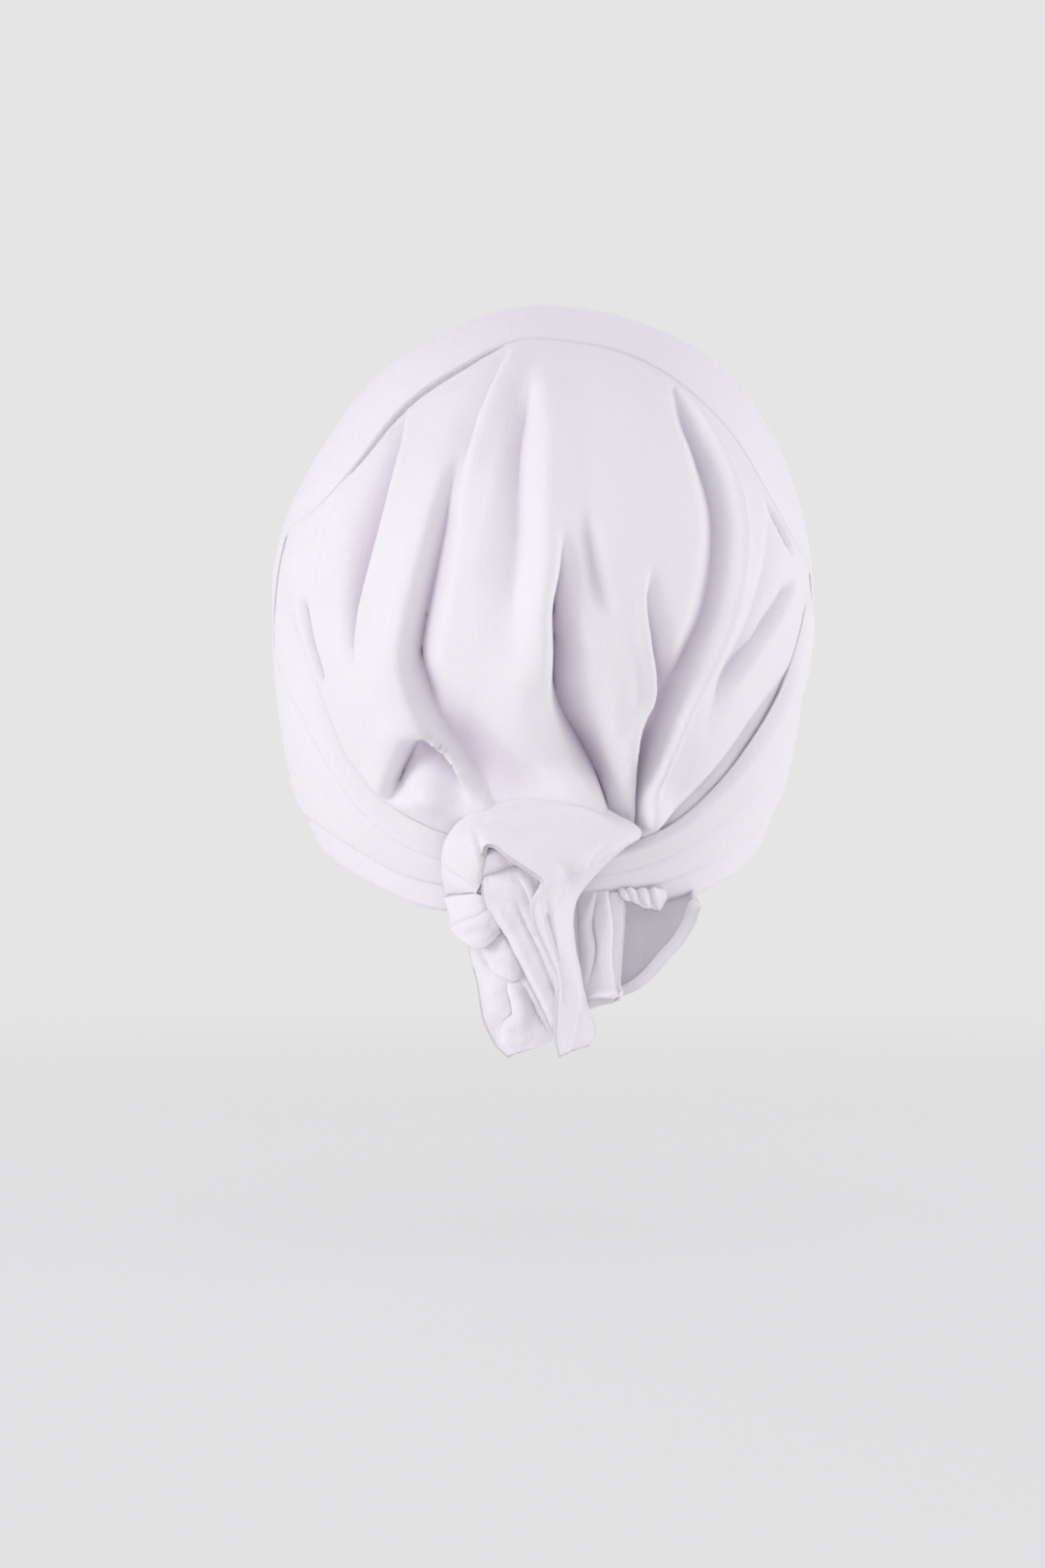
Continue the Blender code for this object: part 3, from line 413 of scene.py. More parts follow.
# How far the strips' rims roll, how crumpled their cloth is, and the loop's raised lower rim.
CURL = 0.9
CURL_WIDTH = 1.1
RUFFLE_CURL = 0.2
CRUMPLE = {
    "knot_wrap": 0.30, "tail_middle": 0.45, "tail_left": 0.55, "knot_band": 0.40, "knot_loop": 0.35,
    "knot_core": 0.6, "loop_ruffle": 0.6,
}
LOOP_RIM = 3.0
LOOP_RIM_WIDTH = 2.6
RIM_CLOTH_SHARE = 0.8

CORE_CENTRE = (10.0, 66.0, -195.5)
CORE_RADII = (13.0, 12.0, 11.0)
CORE_POLE_GAP = 0.02

# Colours are linear red, green and blue.
JERSEY_WHITE = (0.90, 0.88, 0.92, 1.0)
JERSEY_TINT = (0.87, 0.84, 0.90, 1.0)
# Painted shade: the darker lavender mixed into the white in fold hollows and over the knot's core.
PAINTED_FOLD_SHADE = (0.71, 0.655, 0.75, 1.0)
FLOOR_COLOUR = (0.85, 0.83, 0.84, 1.0)
BACKGROUND = (0.784, 0.784, 0.784, 1.0)
AMBIENT = (0.66, 0.64, 0.68, 1.0)

# The jersey's own values, by the names of their sockets, and how finely its patterns run along the cloth.
JERSEY = {
    "Roughness": 0.9, "Specular IOR Level": 0.2, "Sheen Weight": 0.25, "Sheen Roughness": 0.5,
    "Subsurface Weight": 0.25, "Subsurface Radius": (1.0, 0.85, 1.1), "Subsurface Scale": 0.003,
}
RIBS = {"Scale": 1.0, "Distortion": 4.0, "Detail": 3.0, "Detail Scale": 1.0}
RIB_SCALE = (180.0, 180.0, 1.0)
RIB_BUMP = {"Strength": 0.12, "Distance": 0.0004}
SLUB = {"Scale": 1.0, "Detail": 4.0}
SLUB_SCALE = (110.0, 1500.0, 1.0)
SLUB_BUMP = {"Strength": 0.5, "Distance": 0.0004}
CAST = {"Scale": 1.0, "Detail": 3.0}
CAST_SCALE = (30.0, 22.0, 1.0)

# The camera stands level behind the head. Its lens and sensor are in millimetres, the rest in metres.
CAMERA_PLACE = (0.0076, 1.400, -0.1687)
CAMERA_LENS = 90.18
CAMERA_SENSOR = 36.0
CAMERA_NEAREST = 0.01
FLOOR_HEIGHT = -0.33
FLOOR_REACH = 6.0
FLOOR_FADE = (0.5, 1.6)
FLOOR_MIX = 0.65
SURROUND_REACH = 12.0

# Each lamp's place as an azimuth, an elevation and a distance in metres from the middle of the bonnet.
Lamp = namedtuple("Lamp", "name azimuth elevation distance size power colour")
LIT_PLACE = (0.0, 0.03, -0.13)
LAMPS = (
    Lamp("key_light", 56, 9, 2.2, 0.9, 15, (1, 0.985, 0.99)),
    Lamp("fill_light", -90, 5, 2.2, 0.9, 14, (1, 0.98, 0.99)),
    Lamp("near_light", 0, 12, 2.2, 1.6, 2.5, (1, 0.98, 1)),
    Lamp("front_light", 150, 40, 2.2, 1, 2, (1, 0.99, 1)),
)


def smoothstep(value):
    value = np.clip(value, 0.0, 1.0)
    return value * value * (3.0 - 2.0 * value)


def unit(vectors):
    return vectors / np.maximum(np.linalg.norm(vectors, axis=-1, keepdims=True), TINY)


def run_along(points):
    """The run from the first of some points to each, along their first axis."""
    steps = np.linalg.norm(np.diff(points, axis=0), axis=-1)
    return np.concatenate([np.zeros((1,) + steps.shape[1:]), np.cumsum(steps, axis=0)])


def run_across(grid):
    return run_along(grid.swapaxes(0, 1)).T


def mean_run(grid):
    """The run along a grid's first axis, as the mean of its columns."""
    steps = np.linalg.norm(np.diff(grid, axis=0), axis=-1).mean(axis=1)
    return np.concatenate([[0.0], np.cumsum(steps)])


def cubic(x, knots, values, slopes):
    """A smooth curve through the values at the knots, with the given slopes there, read at x."""
    index = np.clip(np.searchsorted(knots, x, side="right") - 1, 0, len(knots) - 2)
    step = knots[index + 1] - knots[index]
    t = (x - knots[index]) / step
    if values.ndim > 1:
        step, t = step[:, None], t[:, None]
    return (
        (2 * t**3 - 3 * t**2 + 1) * values[index]
        + (3 * t**2 - 2 * t**3) * values[index + 1]
        + (t**3 - 2 * t**2 + t) * step * slopes[index]
        + (t**3 - t**2) * step * slopes[index + 1]
    )


def form_radius(directions):
    """The form's radius from the head's centre, in the given unit directions."""
    polar = np.degrees(np.arccos(np.clip(directions[..., 2], -1.0, 1.0)))
    angles = np.array([row.polar for row in FORM], float)
    polar = np.clip(polar, angles[0], angles[-1])
    side = {}
    for name in ("back", "left", "front", "right"):
        radii = np.array([getattr(row, name) for row in FORM], float)
        slopes = np.gradient(radii, angles)
        slopes[0] = 0.0
        side[name] = cubic(polar, angles, radii, slopes)
    across = np.where(directions[..., 0] >= 0, side["left"], side["right"])
    along = np.where(directions[..., 1] >= 0, side["back"], side["front"])
    level = directions[..., 0] ** 2 + directions[..., 1] ** 2 + TINY
    stretched = (directions[..., 0] / across) ** 2 + (directions[..., 1] / along) ** 2
    return np.sqrt(level / (stretched + TINY / side["back"] ** 2))


def onto_form(points):
    """The points moved along their ray from the head's centre onto the form."""
    directions = unit(points - HEAD_CENTRE)
    return HEAD_CENTRE + directions * form_radius(directions)[..., None]


def form_points(rows):
    """The points of the form at (azimuth, height) rows."""
    turn = np.radians([row[0] for row in rows])
    height = np.array([row[1] for row in rows], float)
    low = np.zeros(len(rows))
    high = np.full(len(rows), math.radians(FORM[-1].polar))
    for _ in range(FORM_HALVINGS):
        polar = (low + high) / 2
        level = np.sin(polar)
        ways = np.stack([level * np.sin(turn), level * np.cos(turn), np.cos(polar)], axis=-1)
        points = HEAD_CENTRE + ways * form_radius(ways)[:, None]
        above = points[:, 2] > height
        low = np.where(above, polar, low)
        high = np.where(above, high, polar)
    return points


def form_normals(points):
    """Outward unit normals of the form at points on it or near it."""

    def outside(at):
        offset = at - HEAD_CENTRE
        return np.linalg.norm(offset, axis=-1) - form_radius(unit(offset))

    slope = [outside(points + step) - outside(points - step) for step in np.eye(3) * NORMAL_STEP]
    return unit(np.stack(slope, axis=-1))


def curve_through(points, shares):
    """Points at the given shares of the length of a smooth curve through some points."""
    points = np.asarray(points, float)
    along = run_along(points)
    fine = np.linspace(0.0, along[-1], CURVE_STEPS * len(points))
    curve = cubic(fine, along, points, np.gradient(points, along, axis=0))
    run = run_along(curve)
    return np.stack([np.interp(shares * run[-1], run, curve[:, axis]) for axis in range(3)], axis=-1)


def form_curve(rows, count=None, shares=None):
    """The smooth curve on the form through (azimuth, height) rows, at count even points or at shares."""
    shares = np.linspace(0.0, 1.0, count) if shares is None else shares
    return onto_form(curve_through(form_points(rows), shares))


def cloth_between(upper, lower, cells, above, below, crowding=0.0):
    """A grid on the form whose columns run from upper to lower, reaching past each by above and below mm.

    crowding brings the rows closer together at both ends. It also returns how far each point lies below
    upper and above lower, in mm.
    """
    start = unit(upper - HEAD_CENTRE)
    finish = unit(lower - HEAD_CENTRE)
    angle = np.maximum(np.arccos(np.clip((start * finish).sum(-1), -1.0, 1.0)), LEAST_ANGLE)
    radii = np.linalg.norm(upper - HEAD_CENTRE, axis=-1) + np.linalg.norm(lower - HEAD_CENTRE, axis=-1)
    length = angle * radii / 2
    share = np.linspace(0.0, 1.0, cells + 1)
    share = share - crowding * np.sin(2.0 * math.pi * share) / (2.0 * math.pi)
    run = -above + share[None, :] * (length + above + below)[:, None]
    t = run / length[:, None]
    turn = angle[:, None]
    from_start = np.sin((1.0 - t) * turn) / np.sin(turn)
    from_finish = np.sin(t * turn) / np.sin(turn)
    directions = from_start[..., None] * start[:, None] + from_finish[..., None] * finish[:, None]
    return onto_form(HEAD_CENTRE + unit(directions)), run, length[:, None] - run


def cloth_across(first, middle, last, cells):
    """A grid on the form whose columns run from first through middle to last."""
    t = np.linspace(0.0, 1.0, cells + 1)[None, :, None]
    directions = [unit(curve - HEAD_CENTRE)[:, None] for curve in (first, middle, last)]
    shares = ((1.0 - t) * (1.0 - 2.0 * t), 4.0 * t * (1.0 - t), t * (2.0 * t - 1.0))
    return onto_form(HEAD_CENTRE + sum(share * way for share, way in zip(shares, directions)))


def fold_side(reach, height, crest, rounded):
    """One side of a fold, at distances from its path given as shares of its width."""
    if height < 0.0 and rounded:
        return height * np.exp(-(reach**2))
    if height < 0.0:
        return height * np.clip(1.0 - reach / LOW_SIDE_REACH, 0.0, 1.0) ** LOW_SIDE_POWER
    return height * np.exp(-((reach - crest) ** 2))


def fold_moves(points, normals, fold, knots):
    """How far one fold lifts each point, and the sideways step of its lip. knots are its rows' points."""
    rows = np.array([(*row, 1.0)[:4] for row in fold.path], float)
    steps = run_along(knots)
    path = curve_through(knots, np.linspace(0.0, 1.0, FOLD_POINTS))
    best = np.full(points.shape[:-1], np.inf)
    side = np.zeros(points.shape[:-1])
    along = np.zeros(points.shape[:-1])
    lateral = np.zeros(points.shape)
    for i in range(len(path) - 1):
        step = path[i + 1] - path[i]
        share = np.clip(((points - path[i]) @ step) / (step @ step), 0.0, 1.0)
        offset = points - (path[i] + share[..., None] * step)
        distance = np.linalg.norm(offset, axis=-1)
        nearer = distance < best
        leftward = np.cross(step, normals)
        sign = np.sign((leftward * offset).sum(-1))
        best = np.where(nearer, distance, best)
        side = np.where(nearer, -sign * distance, side)
        along = np.where(nearer, (i + share) / (len(path) - 1), along)
        lateral = np.where(nearer[..., None], unit(leftward), lateral)
    strength = np.interp(along, steps / steps[-1], rows[:, 2])
    grow = np.interp(along, steps / steps[-1], rows[:, 3])
    crest = CREST_SHARE if fold.left_height * fold.right_height < 0.0 else 0.0
    left = fold_side(best / (fold.left_width * grow), fold.left_height, crest, fold.rounded)
    right = fold_side(best / (fold.right_width * grow), fold.right_height, crest, fold.rounded)
    to_right = smoothstep(0.5 + side / (2.0 * fold.edge))
    heights = strength * (left * (1.0 - to_right) + right * to_right)
    over_right = fold.left_height > fold.right_height
    proud = (1.0 - to_right) if over_right else to_right
    reach = fold.lip * strength * proud * np.exp(-((side / (LIP_REACH * fold.edge)) ** 2))
    towards = -lateral if over_right else lateral
    return heights, towards * reach[..., None]


def bulge_heights(points, bulge):
    offset = points - form_points([(bulge.azimuth, bulge.height)])[0]
    across = np.linalg.norm(offset[..., :2], axis=-1) / bulge.width
    up = offset[..., 2] / bulge.tall
    return bulge.rise * np.exp(-(across**2) - up**2)


def settled(values):
    """Values over a grid, each averaged with its neighbours."""
    for axis in (0, 1):
        padded = np.concatenate([values.take([0], axis), values, values.take([-1], axis)], axis)
        inside = [slice(None)] * values.ndim
        inside[axis] = slice(1, -1)
        before, after = np.roll(padded, 1, axis), np.roll(padded, -1, axis)
        values = ((before + 2.0 * padded + after) / 4.0)[tuple(inside)]
    return values


def grid_normals(grid):
    return unit(np.cross(np.gradient(grid, axis=0), np.gradient(grid, axis=1)))


def unevenness(points, ripples):
    """The height at each point of smooth noise with the ripples' bumps."""
    heights = np.zeros(points.shape[:-1])
    for ripple in ripples:
        size = ripple.spacing * np.array((1.0, 1.0, ripple.tall))
        values = [noise.noise(Vector(place)) for place in points.reshape(-1, 3) / size + ripple.seed]
        heights += ripple.height * np.array(values).reshape(heights.shape)
    return heights


def placed(name, data, look=None):
    """A new object in the scene, with its data and, where it has one, its material."""
    obj = bpy.data.objects.new(name, data)
    if look:
        data.materials.append(look)
    bpy.context.scene.collection.objects.link(obj)
    return obj


def keep_painted_shade(mesh, shade_amount):
    """Keeps with each point the painted shade that the material mixes into its colour, for how deep in a
    fold it lies: 0 on open cloth and 1 at most.
    """
    layer = mesh.attributes.new("painted_shade", "FLOAT", "POINT")
    layer.data.foreach_set("value", np.asarray(shade_amount, np.float32))


def cloth_piece(name, grid, thickness, look, painted_shade=None):
    """A sheet of cloth with rounded rims: half its thickness to each side of a grid of points in mm."""
    rows, columns = grid.shape[:2]
    normals = grid_normals(grid)
    half = np.broadcast_to(np.asarray(thickness, float), grid.shape[:2])[..., None] / 2
    rim = [(i, 0) for i in range(rows)]
    rim += [(rows - 1, j) for j in range(1, columns)]
    rim += [(i, columns - 1) for i in range(rows - 2, -1, -1)]
    rim += [(0, j) for j in range(columns - 2, 0, -1)]
    rim_i, rim_j = np.array(rim).T
    outward = grid[rim_i, rim_j] - grid[np.clip(rim_i, 1, rows - 2), np.clip(rim_j, 1, columns - 2)]
    rim_normals = normals[rim_i, rim_j]
    outward = unit(outward - (outward * rim_normals).sum(-1)[:, None] * rim_normals)
    edge = grid[rim_i, rim_j] + outward * half[rim_i, rim_j]
    faces_of_cloth = [(grid + way * normals * half).reshape(-1, 3) for way in (1.0, -1.0)]
    points = np.concatenate([*faces_of_cloth, edge])
    under = rows * columns
    i, j = np.meshgrid(np.arange(rows - 1), np.arange(columns - 1), indexing="ij")
    corner = (i * columns + j).ravel()
    top = np.stack([corner, corner + columns, corner + columns + 1, corner + 1], axis=-1)
    ring = rim_i * columns + rim_j
    after = np.roll(ring, -1)
    edge_here = 2 * under + np.arange(len(ring))
    edge_after = np.roll(edge_here, -1)
    faces = np.concatenate(
        [
            top,
            under + top[:, ::-1],
            np.stack([ring, after, edge_after, edge_here], axis=-1),
            np.stack([edge_here, edge_after, under + after, under + ring], axis=-1),
        ]
    )
    mesh = bpy.data.meshes.new(name)
    mesh.from_pydata((points * MM).tolist(), [], faces.tolist())
    v, u = np.meshgrid(mean_run(grid) * MM, mean_run(grid.swapaxes(0, 1)) * MM, indexing="ij")
    places = np.stack([u.ravel(), v.ravel()], axis=-1)
    places = np.concatenate([places, places, places[ring]])
    layer = mesh.uv_layers.new(name="knit")
    layer.data.foreach_set("uv", places[faces.ravel()].astype(np.float32).ravel())
    first, second, third, fourth = (points[faces[:, k]] for k in range(4))
    if (first * (np.cross(second, third) + np.cross(third, fourth))).sum() < 0.0:
        mesh.flip_normals()
    mesh.shade_smooth()
    # Painted shade: where given, each point's amount of darker colour painted in for its fold depth is kept
    # on the mesh.
    if painted_shade is not None:
        shade_amount = np.clip(painted_shade, 0.0, 1.0)
        keep_painted_shade(mesh, np.concatenate([shade_amount.ravel(), shade_amount.ravel(), shade_amount[rim_i, rim_j]]))
    return placed(name, mesh, look)


def crown_roll(points):
    """How strongly the front panel's edge rolls up: most over the wearer's left of the crown seam."""
    azimuth = np.degrees(np.arctan2(points[..., 0], points[..., 1]))
    return sum(
        roll.strength
        * smoothstep((azimuth - roll.start) / (roll.full - roll.start))
        * smoothstep((roll.end - azimuth) / (roll.end - roll.fading))
        for roll in CROWN_ROLLS
    )


def front_panel(look):
    """The smooth band over the top of the head, with a rolled edge at the crown seam and a turned hem."""
    columns, rows = FRONT_CELLS
    side = int(columns * FRONT_SIDE_SHARE)
    ends = form_points([CROWN_SEAM[0], SIDE_SEAM_LEFT_END, CROWN_SEAM[-1], SIDE_SEAM_RIGHT_END])
    left, _, _ = cloth_between(ends[0][None], ends[1][None], side, 0.0, 0.0)
    right, _, _ = cloth_between(ends[2][None], ends[3][None], side, 0.0, 0.0)
    crown = form_curve(CROWN_SEAM, columns - 2 * side + 1)
    back_edge = np.concatenate([left[0][::-1], crown[1:], right[0][1:]])
    hem = form_curve(FRONT_HEM, columns + 1)
    grid = cloth_across(hem, form_curve(FRONT_MIDDLE, columns + 1), back_edge, rows)
    normals = form_normals(grid)
    from_hem = run_across(grid)
    from_seam = from_hem[:, -1:] - from_hem
    rolled = crown_roll(grid)
    past_edge = (from_seam - EDGE_PLACE) / (EDGE_WIDTH + ROLL_WIDTH * rolled)
    heights = FRONT_HEIGHT + (EDGE_RISE + ROLL_RISE * rolled) * np.exp(-(past_edge**2))
    heights += unevenness(grid, FRONT_RIPPLES)
    inside_edges = smoothstep(from_hem / PULLS_FROM_HEM) * smoothstep(from_seam / PULLS_FROM_SEAM)
    for fold in FRONT_FOLDS.values():
        lift, _ = fold_moves(grid, normals, fold, form_points(fold.path))
        heights += lift * inside_edges
    heights -= HEM_GROOVE * np.exp(-(((from_hem - HEM_WIDTH) / HEM_GROOVE_WIDTH) ** 2))
    thickness = FRONT_CLOTH + HEM_THICKENING * smoothstep((HEM_THICK_END - from_hem) / HEM_THICK_FADE)
    thickness -= EDGE_THINNING * smoothstep((EDGE_THIN_END - from_seam) / EDGE_THIN_FADE)
    return cloth_piece("front_panel_cloth", grid + normals * heights[..., None], thickness, look)


def back_panel(look):
    """The gathered bag between the crown seam and the ties."""
    columns, rows = BACK_CELLS
    even = np.linspace(0.0, 1.0, columns + 1)
    shares = even + BACK_MIDDLE_SHARE * np.sin(2.0 * math.pi * even) / (2.0 * math.pi)
    seam = form_curve(CROWN_SEAM, shares=shares)
    gather = form_curve(GATHER_LINE, shares=shares)
    grid, below_seam, above_gather = cloth_between(seam, gather, rows, SEAM_TUCK, TIE_TUCK, BACK_CROWDING)
    normals = form_normals(grid)
    rolled = crown_roll(grid)
    early = SEAM_CLOSED * (1.0 - np.clip(rolled, 0.0, 1.0))
    out = smoothstep((below_seam + SEAM_RISE + early) / SEAM_RISE)
    out = out * smoothstep((above_gather + TUCK_RISE) / TUCK_RISE)
    raised = smoothstep(below_seam / DRAPE_RISE) * smoothstep(above_gather / GATHER_RISE)
    sunk = smoothstep(below_seam / DRAPE_RISE) * smoothstep((above_gather + TIE_TUCK) / TIE_TUCK)
    drape = np.zeros(grid.shape[:2])
    sideways = np.zeros(grid.shape)
    for fold in BACK_FOLDS.values():
        heights, lip = fold_moves(grid, normals, fold, form_points(fold.path))
        drape += FOLD_GAIN * heights
        sideways += lip
    drape += sum(bulge_heights(grid, bulge) for bulge in BACK_BULGES.values())
    drape = settled(drape + unevenness(grid, BACK_RIPPLES))
    flush = FLUSH_HEIGHT + FLUSH_SHARE * early
    heights = flush + (TUCKED_HEIGHT - flush) * (1.0 - out)
    heights += np.where(drape > 0.0, drape * raised, drape * sunk)
    heights -= SEAM_GROOVE * rolled * np.exp(-((below_seam / SEAM_GROOVE_WIDTH) ** 2))
    for corner in form_points([CROWN_SEAM[0], CROWN_SEAM[-1]]):
        near = np.linalg.norm(grid - corner, axis=-1) / CORNER_REACH
        heights = heights - CORNER_DROP * np.exp(-(near**2))
    moved = grid + normals * heights[..., None] + settled(sideways) * raised[..., None]
    # Painted shade: the deeper the cloth sinks below the form, the darker its painted colour.
    return cloth_piece("back_panel_cloth", moved, CLOTH, look, painted_shade=-heights / PAINTED_SHADE_DEPTH)


def pleat_heights(across, along, shape):
    """The height of a tie's pleats. It rises from the upper edge and drops where each next pleat begins."""
    heights = np.full(across.shape, shape.edge_height)
    heights += shape.rise * smoothstep(across / shape.upper_roll)
    for pleat in shape.pleats:
        past = across - (pleat.at_seam + (pleat.at_knot - pleat.at_seam) * along)
        dropped = smoothstep(0.5 + past / pleat.edge)
        heights -= pleat.drop * dropped * np.exp(-np.maximum(past, 0.0) / PLEAT_REACH)
    return heights - heights * (1.0 - smoothstep((1.0 - across) / shape.lower_roll)) * LOWER_ROLL


def tie(name, upper_rows, lower_rows, look):
    """One pleated tie, from its side seam to the knot."""
    columns, rows = TIE_CELLS
    shape = TIE_SHAPES[name]
    upper = form_curve(upper_rows, columns + 1)
    lower = form_curve(lower_rows, columns + 1)
    grid, _, _ = cloth_between(upper, lower, rows, 0.0, 0.0)
    seam = grid[0]
    back = unit(grid[1] - seam)
    tucked = [seam - back * SEAM_TUCK * share for share in TUCK_SHARES]
    grid = onto_form(np.concatenate([np.array(tucked), grid]))
    normals = form_normals(grid)
    run = mean_run(grid)
    along = np.clip(run / run[-1], 0.0, 1.0)[:, None] + np.zeros(grid.shape[1])
    across = np.linspace(0.0, 1.0, rows + 1)[None, :] + np.zeros((len(grid), 1))
    out = smoothstep((run - SEAM_TUCK + TIE_OUT) / SEAM_RISE)[:, None]
    fullness = TIE_FIRST_SHARE + (1.0 - TIE_FIRST_SHARE) * smoothstep(run / TIE_FULL)
    rise = (smoothstep((run - SEAM_TUCK) / TIE_RISE) * fullness)[:, None]
    lifted = pleat_heights(across, along, shape)
    lifted += unevenness(grid, TIE_RIPPLES) * smoothstep(across / shape.upper_roll)
    heights = TUCKED_HEIGHT * (1.0 - out) + lifted * rise
    thickness = TIE_EDGE_CLOTH + (CLOTH - TIE_EDGE_CLOTH) * smoothstep(across / TIE_EDGE_TAPER)
    return cloth_piece(name + "_cloth", grid + normals * heights[..., None], thickness, look)


def strip_grid(sections, cells):
    """A grid over a strip: cells[0] along its sections, cells[1] from one edge to the other."""
    sections = np.array(sections, float)
    place = np.linspace(0.0, len(sections) - 1.0, cells[0] + 1)
    rows = cubic(place, np.arange(len(sections), dtype=float), sections, np.gradient(sections, axis=0))
    share = np.linspace(0.0, 1.0, cells[1] + 1)[None, :, None]
    grid = rows[:, None, 0:3] * (1.0 - share) + rows[:, None, 3:6] * share
    grid[..., 1] += rows[:, 6:7] * 4.0 * (share * (1.0 - share))[..., 0]
    return grid


def seen_place(points, normals, x, z):
    """The point nearest to a place across and up that faces the photograph's view."""
    distance = (points[..., 0] - x) ** 2 + (points[..., 2] - z) ** 2 - NEARNESS * points[..., 1]
    distance = distance + np.where(normals[..., 1] > 0.0, 0.0, FACING_AWAY)
    return points.reshape(-1, 3)[distance.argmin()]


def creased(name, points, normals):
    """The points of a piece of the knot, moved by its folds and crumpled."""
    heights = CRUMPLE[name] * unevenness(points, KNOT_RIPPLES)
    sideways = np.zeros(points.shape)
    for fold in KNOT_FOLDS.get(name, ()):
        knots = np.array([seen_place(points, normals, row[0], row[1]) for row in fold.path])
        lift, lip = fold_moves(points, normals, fold, knots)
        heights += lift
        sideways += lip
    return points + normals * settled(heights)[..., None] + settled(sideways)


def strip(name, sections, cells, look, rim=0.0, curl=CURL):
    """A strip of the knot, with its folds, its rolled rims and, where rim is given, a raised lower edge."""
    grid = strip_grid(sections, cells)
    normals = grid_normals(grid)
    if normals[0, :, 1].mean() < 0.0:
        normals = -normals
    across = run_across(grid)
    to_lower_edge = across[:, -1:] - across
    from_edge = np.minimum(across, to_lower_edge)
    raised = rim * np.exp(-((to_lower_edge / LOOP_RIM_WIDTH) ** 2))
    thickness = CLOTH + curl * np.exp(-((from_edge / CURL_WIDTH) ** 2)) + RIM_CLOTH_SHARE * raised
    grid = creased(name, grid, normals)
    grid[..., 1] += raised
    return cloth_piece(name + "_cloth", grid, thickness, look)


def knot_core(look):
    """The cloth bunched inside the knot, with painted shade all over it for lying deep in the knot."""
    rows, columns = CORE_CELLS
    polar = np.linspace(CORE_POLE_GAP, math.pi - CORE_POLE_GAP, rows + 1)[:, None]
    turn = np.linspace(0.0, 2.0 * math.pi, columns + 1)[None, :]
    shape = np.stack(
        [np.sin(polar) * np.cos(turn), np.sin(polar) * np.sin(turn), np.cos(polar) + 0.0 * turn], axis=-1
    )
    points = shape * np.array(CORE_RADII) + np.array(CORE_CENTRE)
    points = creased("knot_core", points, unit(shape / np.array(CORE_RADII)))
    mesh = bpy.data.meshes.new("knot_core_cloth")
    vertices = [tuple(p * MM) for p in points[:, :-1].reshape(-1, 3)]
    faces = []
    for i in range(rows):
        for j in range(columns):
            k = (j + 1) % columns
            faces.append((i * columns + j, (i + 1) * columns + j, (i + 1) * columns + k, i * columns + k))
    faces.append(tuple(range(columns)))
    faces.append(tuple(rows * columns + j for j in reversed(range(columns))))
    mesh.from_pydata(vertices, [], faces)
    mesh.shade_smooth()
    # Painted shade: the whole core is coloured darker, as it sits in the knot's hollow.
    keep_painted_shade(mesh, np.full(len(vertices), CORE_PAINTED_SHADE))
    return placed("knot_core_cloth", mesh, look)


def new_material(name):
    material = bpy.data.materials.new(name)
    material.use_nodes = True
    return material, material.node_tree


def new_node(tree, kind, inputs, **settings):
    """A new node with some settings. Each input is a value, or another node's output to link to it."""
    node = tree.nodes.new(kind)
    for name, value in settings.items():
        setattr(node, name, value)
    for name, value in inputs.items():
        if isinstance(value, bpy.types.NodeSocket):
            tree.links.new(value, node.inputs[name])
        else:
            node.inputs[name].default_value = value
    return node


def jersey(name, colour, tint):
    """Soft cotton jersey: fine ribs along the cloth, a little slub, a pale cast that varies softly, and
    painted shade that darkens it where each point's stored amount says.
    """
    material, tree = new_material(name)
    shader = tree.nodes["Principled BSDF"]
    for socket, value in JERSEY.items():
        shader.inputs[socket].default_value = value
    place = new_node(tree, "ShaderNodeUVMap", {}, uv_map="knit").outputs["UV"]

    def scaled(scale):
        return new_node(tree, "ShaderNodeMapping", {"Scale": scale, "Vector": place}).outputs["Vector"]

    ribs = new_node(tree, "ShaderNodeTexWave", {"Vector": scaled(RIB_SCALE), **RIBS}, bands_direction="X")
    slub = new_node(tree, "ShaderNodeTexNoise", {"Vector": scaled(SLUB_SCALE), **SLUB})
    cast = new_node(tree, "ShaderNodeTexNoise", {"Vector": scaled(CAST_SCALE), **CAST})
    bump = new_node(tree, "ShaderNodeBump", {"Height": ribs.outputs["Fac"], **RIB_BUMP})
    height, normal = slub.outputs["Fac"], bump.outputs["Normal"]
    bump = new_node(tree, "ShaderNodeBump", {"Height": height, "Normal": normal, **SLUB_BUMP})
    white = {"A": colour, "B": tint, "Factor": cast.outputs["Fac"]}
    white = new_node(tree, "ShaderNodeMix", white, data_type="RGBA").outputs["Result"]
    # Painted shade: the white is mixed towards the darker fold colour by each point's stored amount.
    shade_amount = new_node(tree, "ShaderNodeAttribute", {}, attribute_name="painted_shade").outputs["Fac"]
    painted_shade_mix = {"A": white, "B": PAINTED_FOLD_SHADE, "Factor": shade_amount}
    painted_shade_mix = new_node(tree, "ShaderNodeMix", painted_shade_mix, data_type="RGBA")
    tree.links.new(bump.outputs["Normal"], shader.inputs["Normal"])
    tree.links.new(painted_shade_mix.outputs["Result"], shader.inputs["Base Color"])
    return material


def glow(name, colour):
    """A material that shows one even colour, whatever light falls on it."""
    material, tree = new_material(name)
    tree.nodes.remove(tree.nodes["Principled BSDF"])
    light = new_node(tree, "ShaderNodeEmission", {"Color": colour})
    tree.links.new(light.outputs["Emission"], tree.nodes["Material Output"].inputs["Surface"])
    return material


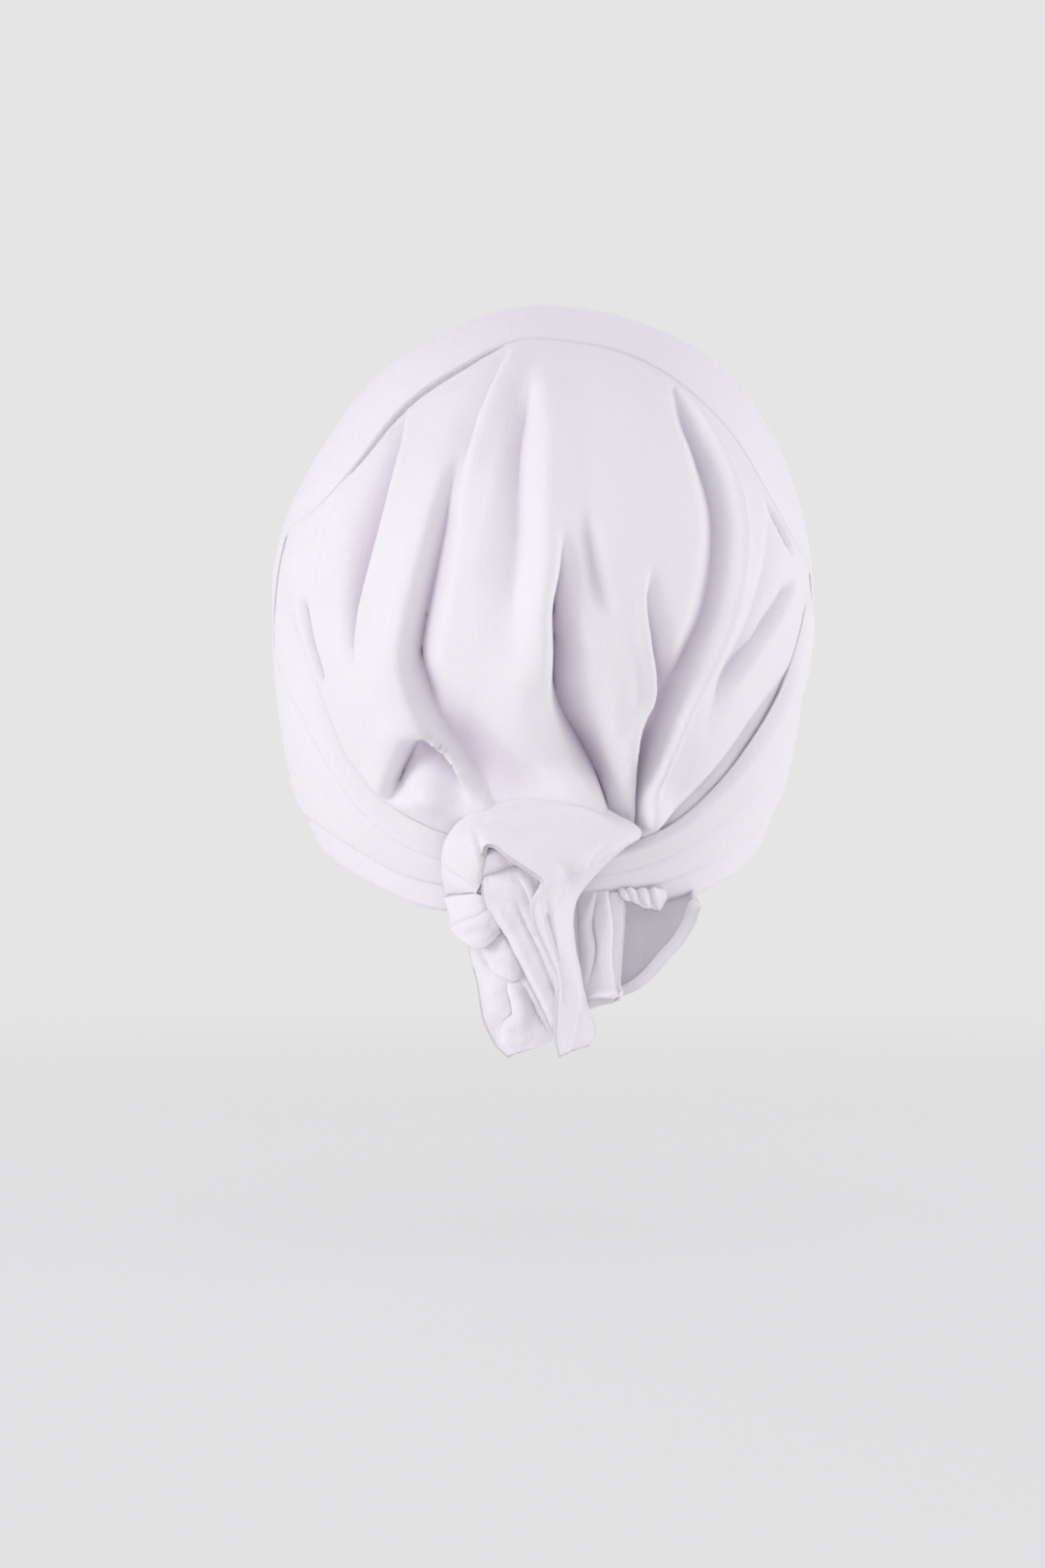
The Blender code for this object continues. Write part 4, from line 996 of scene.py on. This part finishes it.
def floor_material():
    """A pale matt floor that fades into the surround away from the middle."""
    material = glow("pale_floor", BACKGROUND)
    tree = material.node_tree
    matt = new_node(tree, "ShaderNodeBsdfDiffuse", {"Color": FLOOR_COLOUR}).outputs["BSDF"]
    place = new_node(tree, "ShaderNodeTexCoord", {}).outputs["Object"]
    distance = new_node(tree, "ShaderNodeVectorMath", {0: place}, operation="LENGTH").outputs["Value"]
    fade = {"Value": distance, "From Min": FLOOR_FADE[0], "From Max": FLOOR_FADE[1]}
    fade.update({"To Min": FLOOR_MIX, "To Max": 1.0})
    fade = new_node(tree, "ShaderNodeMapRange", fade, interpolation_type="SMOOTHSTEP").outputs["Result"]
    light = tree.nodes["Emission"].outputs["Emission"]
    mix = new_node(tree, "ShaderNodeMixShader", {"Fac": fade, 1: matt, 2: light})
    tree.links.new(mix.outputs["Shader"], tree.nodes["Material Output"].inputs["Surface"])
    return material


def staged(name, look, make_shape, **sizes):
    """A piece of the stage, in one of bmesh's own shapes."""
    mesh = bpy.data.meshes.new(name)
    shape = bmesh.new()
    make_shape(shape, **sizes)
    shape.to_mesh(mesh)
    shape.free()
    piece = placed(name, mesh, look)
    return piece


def surround_and_floor():
    """A pale surround that shows behind the object but doesn't light it, and a pale floor."""
    sizes = {"u_segments": 48, "v_segments": 24, "radius": SURROUND_REACH}
    surround = staged("surround", glow("surround", BACKGROUND), bmesh.ops.create_uvsphere, **sizes)
    for ray in ("diffuse", "glossy", "transmission", "shadow"):
        setattr(surround, "visible_" + ray, False)
    sizes = {"cap_ends": True, "segments": 96, "radius": FLOOR_REACH}
    floor = staged("floor", floor_material(), bmesh.ops.create_circle, **sizes)
    floor.location = (0.0, 0.0, FLOOR_HEIGHT)


def studio_light():
    """Soft light from both sides of the camera, a little from above it and from the front, and a fill."""
    world = bpy.context.scene.world or bpy.data.worlds.new("studio")
    bpy.context.scene.world = world
    world.use_nodes = True
    fill = world.node_tree.nodes["Background"]
    fill.inputs["Color"].default_value = AMBIENT
    fill.inputs["Strength"].default_value = 1.0
    for lamp in LAMPS:
        light = bpy.data.lights.new(lamp.name, "AREA")
        light.shape = "DISK"
        light.size = lamp.size
        light.energy = lamp.power
        light.color = lamp.colour
        turn, rise = math.radians(lamp.azimuth), math.radians(lamp.elevation)
        way = Vector((math.sin(turn) * math.cos(rise), math.cos(turn) * math.cos(rise), math.sin(rise)))
        obj = placed(lamp.name, light)
        obj.location = Vector(LIT_PLACE) + way * lamp.distance
        obj.rotation_euler = way.to_track_quat("Z", "Y").to_euler()


def camera():
    data = bpy.data.cameras.new("camera")
    data.sensor_fit = "VERTICAL"
    data.sensor_height = CAMERA_SENSOR
    data.lens = CAMERA_LENS
    data.clip_start = CAMERA_NEAREST
    obj = placed("camera", data)
    obj.location = CAMERA_PLACE
    obj.rotation_euler = (math.radians(90), 0.0, math.radians(180))
    bpy.context.scene.camera = obj


def main():
    white = jersey("white_jersey", JERSEY_WHITE, JERSEY_TINT)
    pieces = {
        "front_panel": front_panel(white),
        "back_panel": back_panel(white),
        "tie_left": tie("tie_left", TIE_LEFT_UPPER, TIE_LEFT_LOWER, white),
        "tie_right": tie("tie_right", TIE_RIGHT_UPPER, TIE_RIGHT_LOWER, white),
        "knot_core": knot_core(white),
        "knot_wrap": strip("knot_wrap", WRAP_SECTIONS, WRAP_CELLS, white),
        "knot_band": strip("knot_band", KNOT_BAND_SECTIONS, BAND_CELLS, white),
        "tail_middle": strip("tail_middle", MIDDLE_TAIL_SECTIONS, TAIL_CELLS, white),
        "tail_left": strip("tail_left", LEFT_TAIL_SECTIONS, TAIL_CELLS, white),
        "knot_loop": strip("knot_loop", LOOP_SECTIONS, LOOP_CELLS, white, LOOP_RIM),
    }
    for node, piece in pieces.items():
        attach(piece, "root")
        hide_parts(node)
    ruffle = strip("loop_ruffle", RUFFLE_SECTIONS, RUFFLE_CELLS, white, curl=RUFFLE_CURL)
    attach(ruffle, "root")
    surround_and_floor()
    studio_light()
    camera()
    bpy.context.scene.view_settings.view_transform = "Standard"


main()
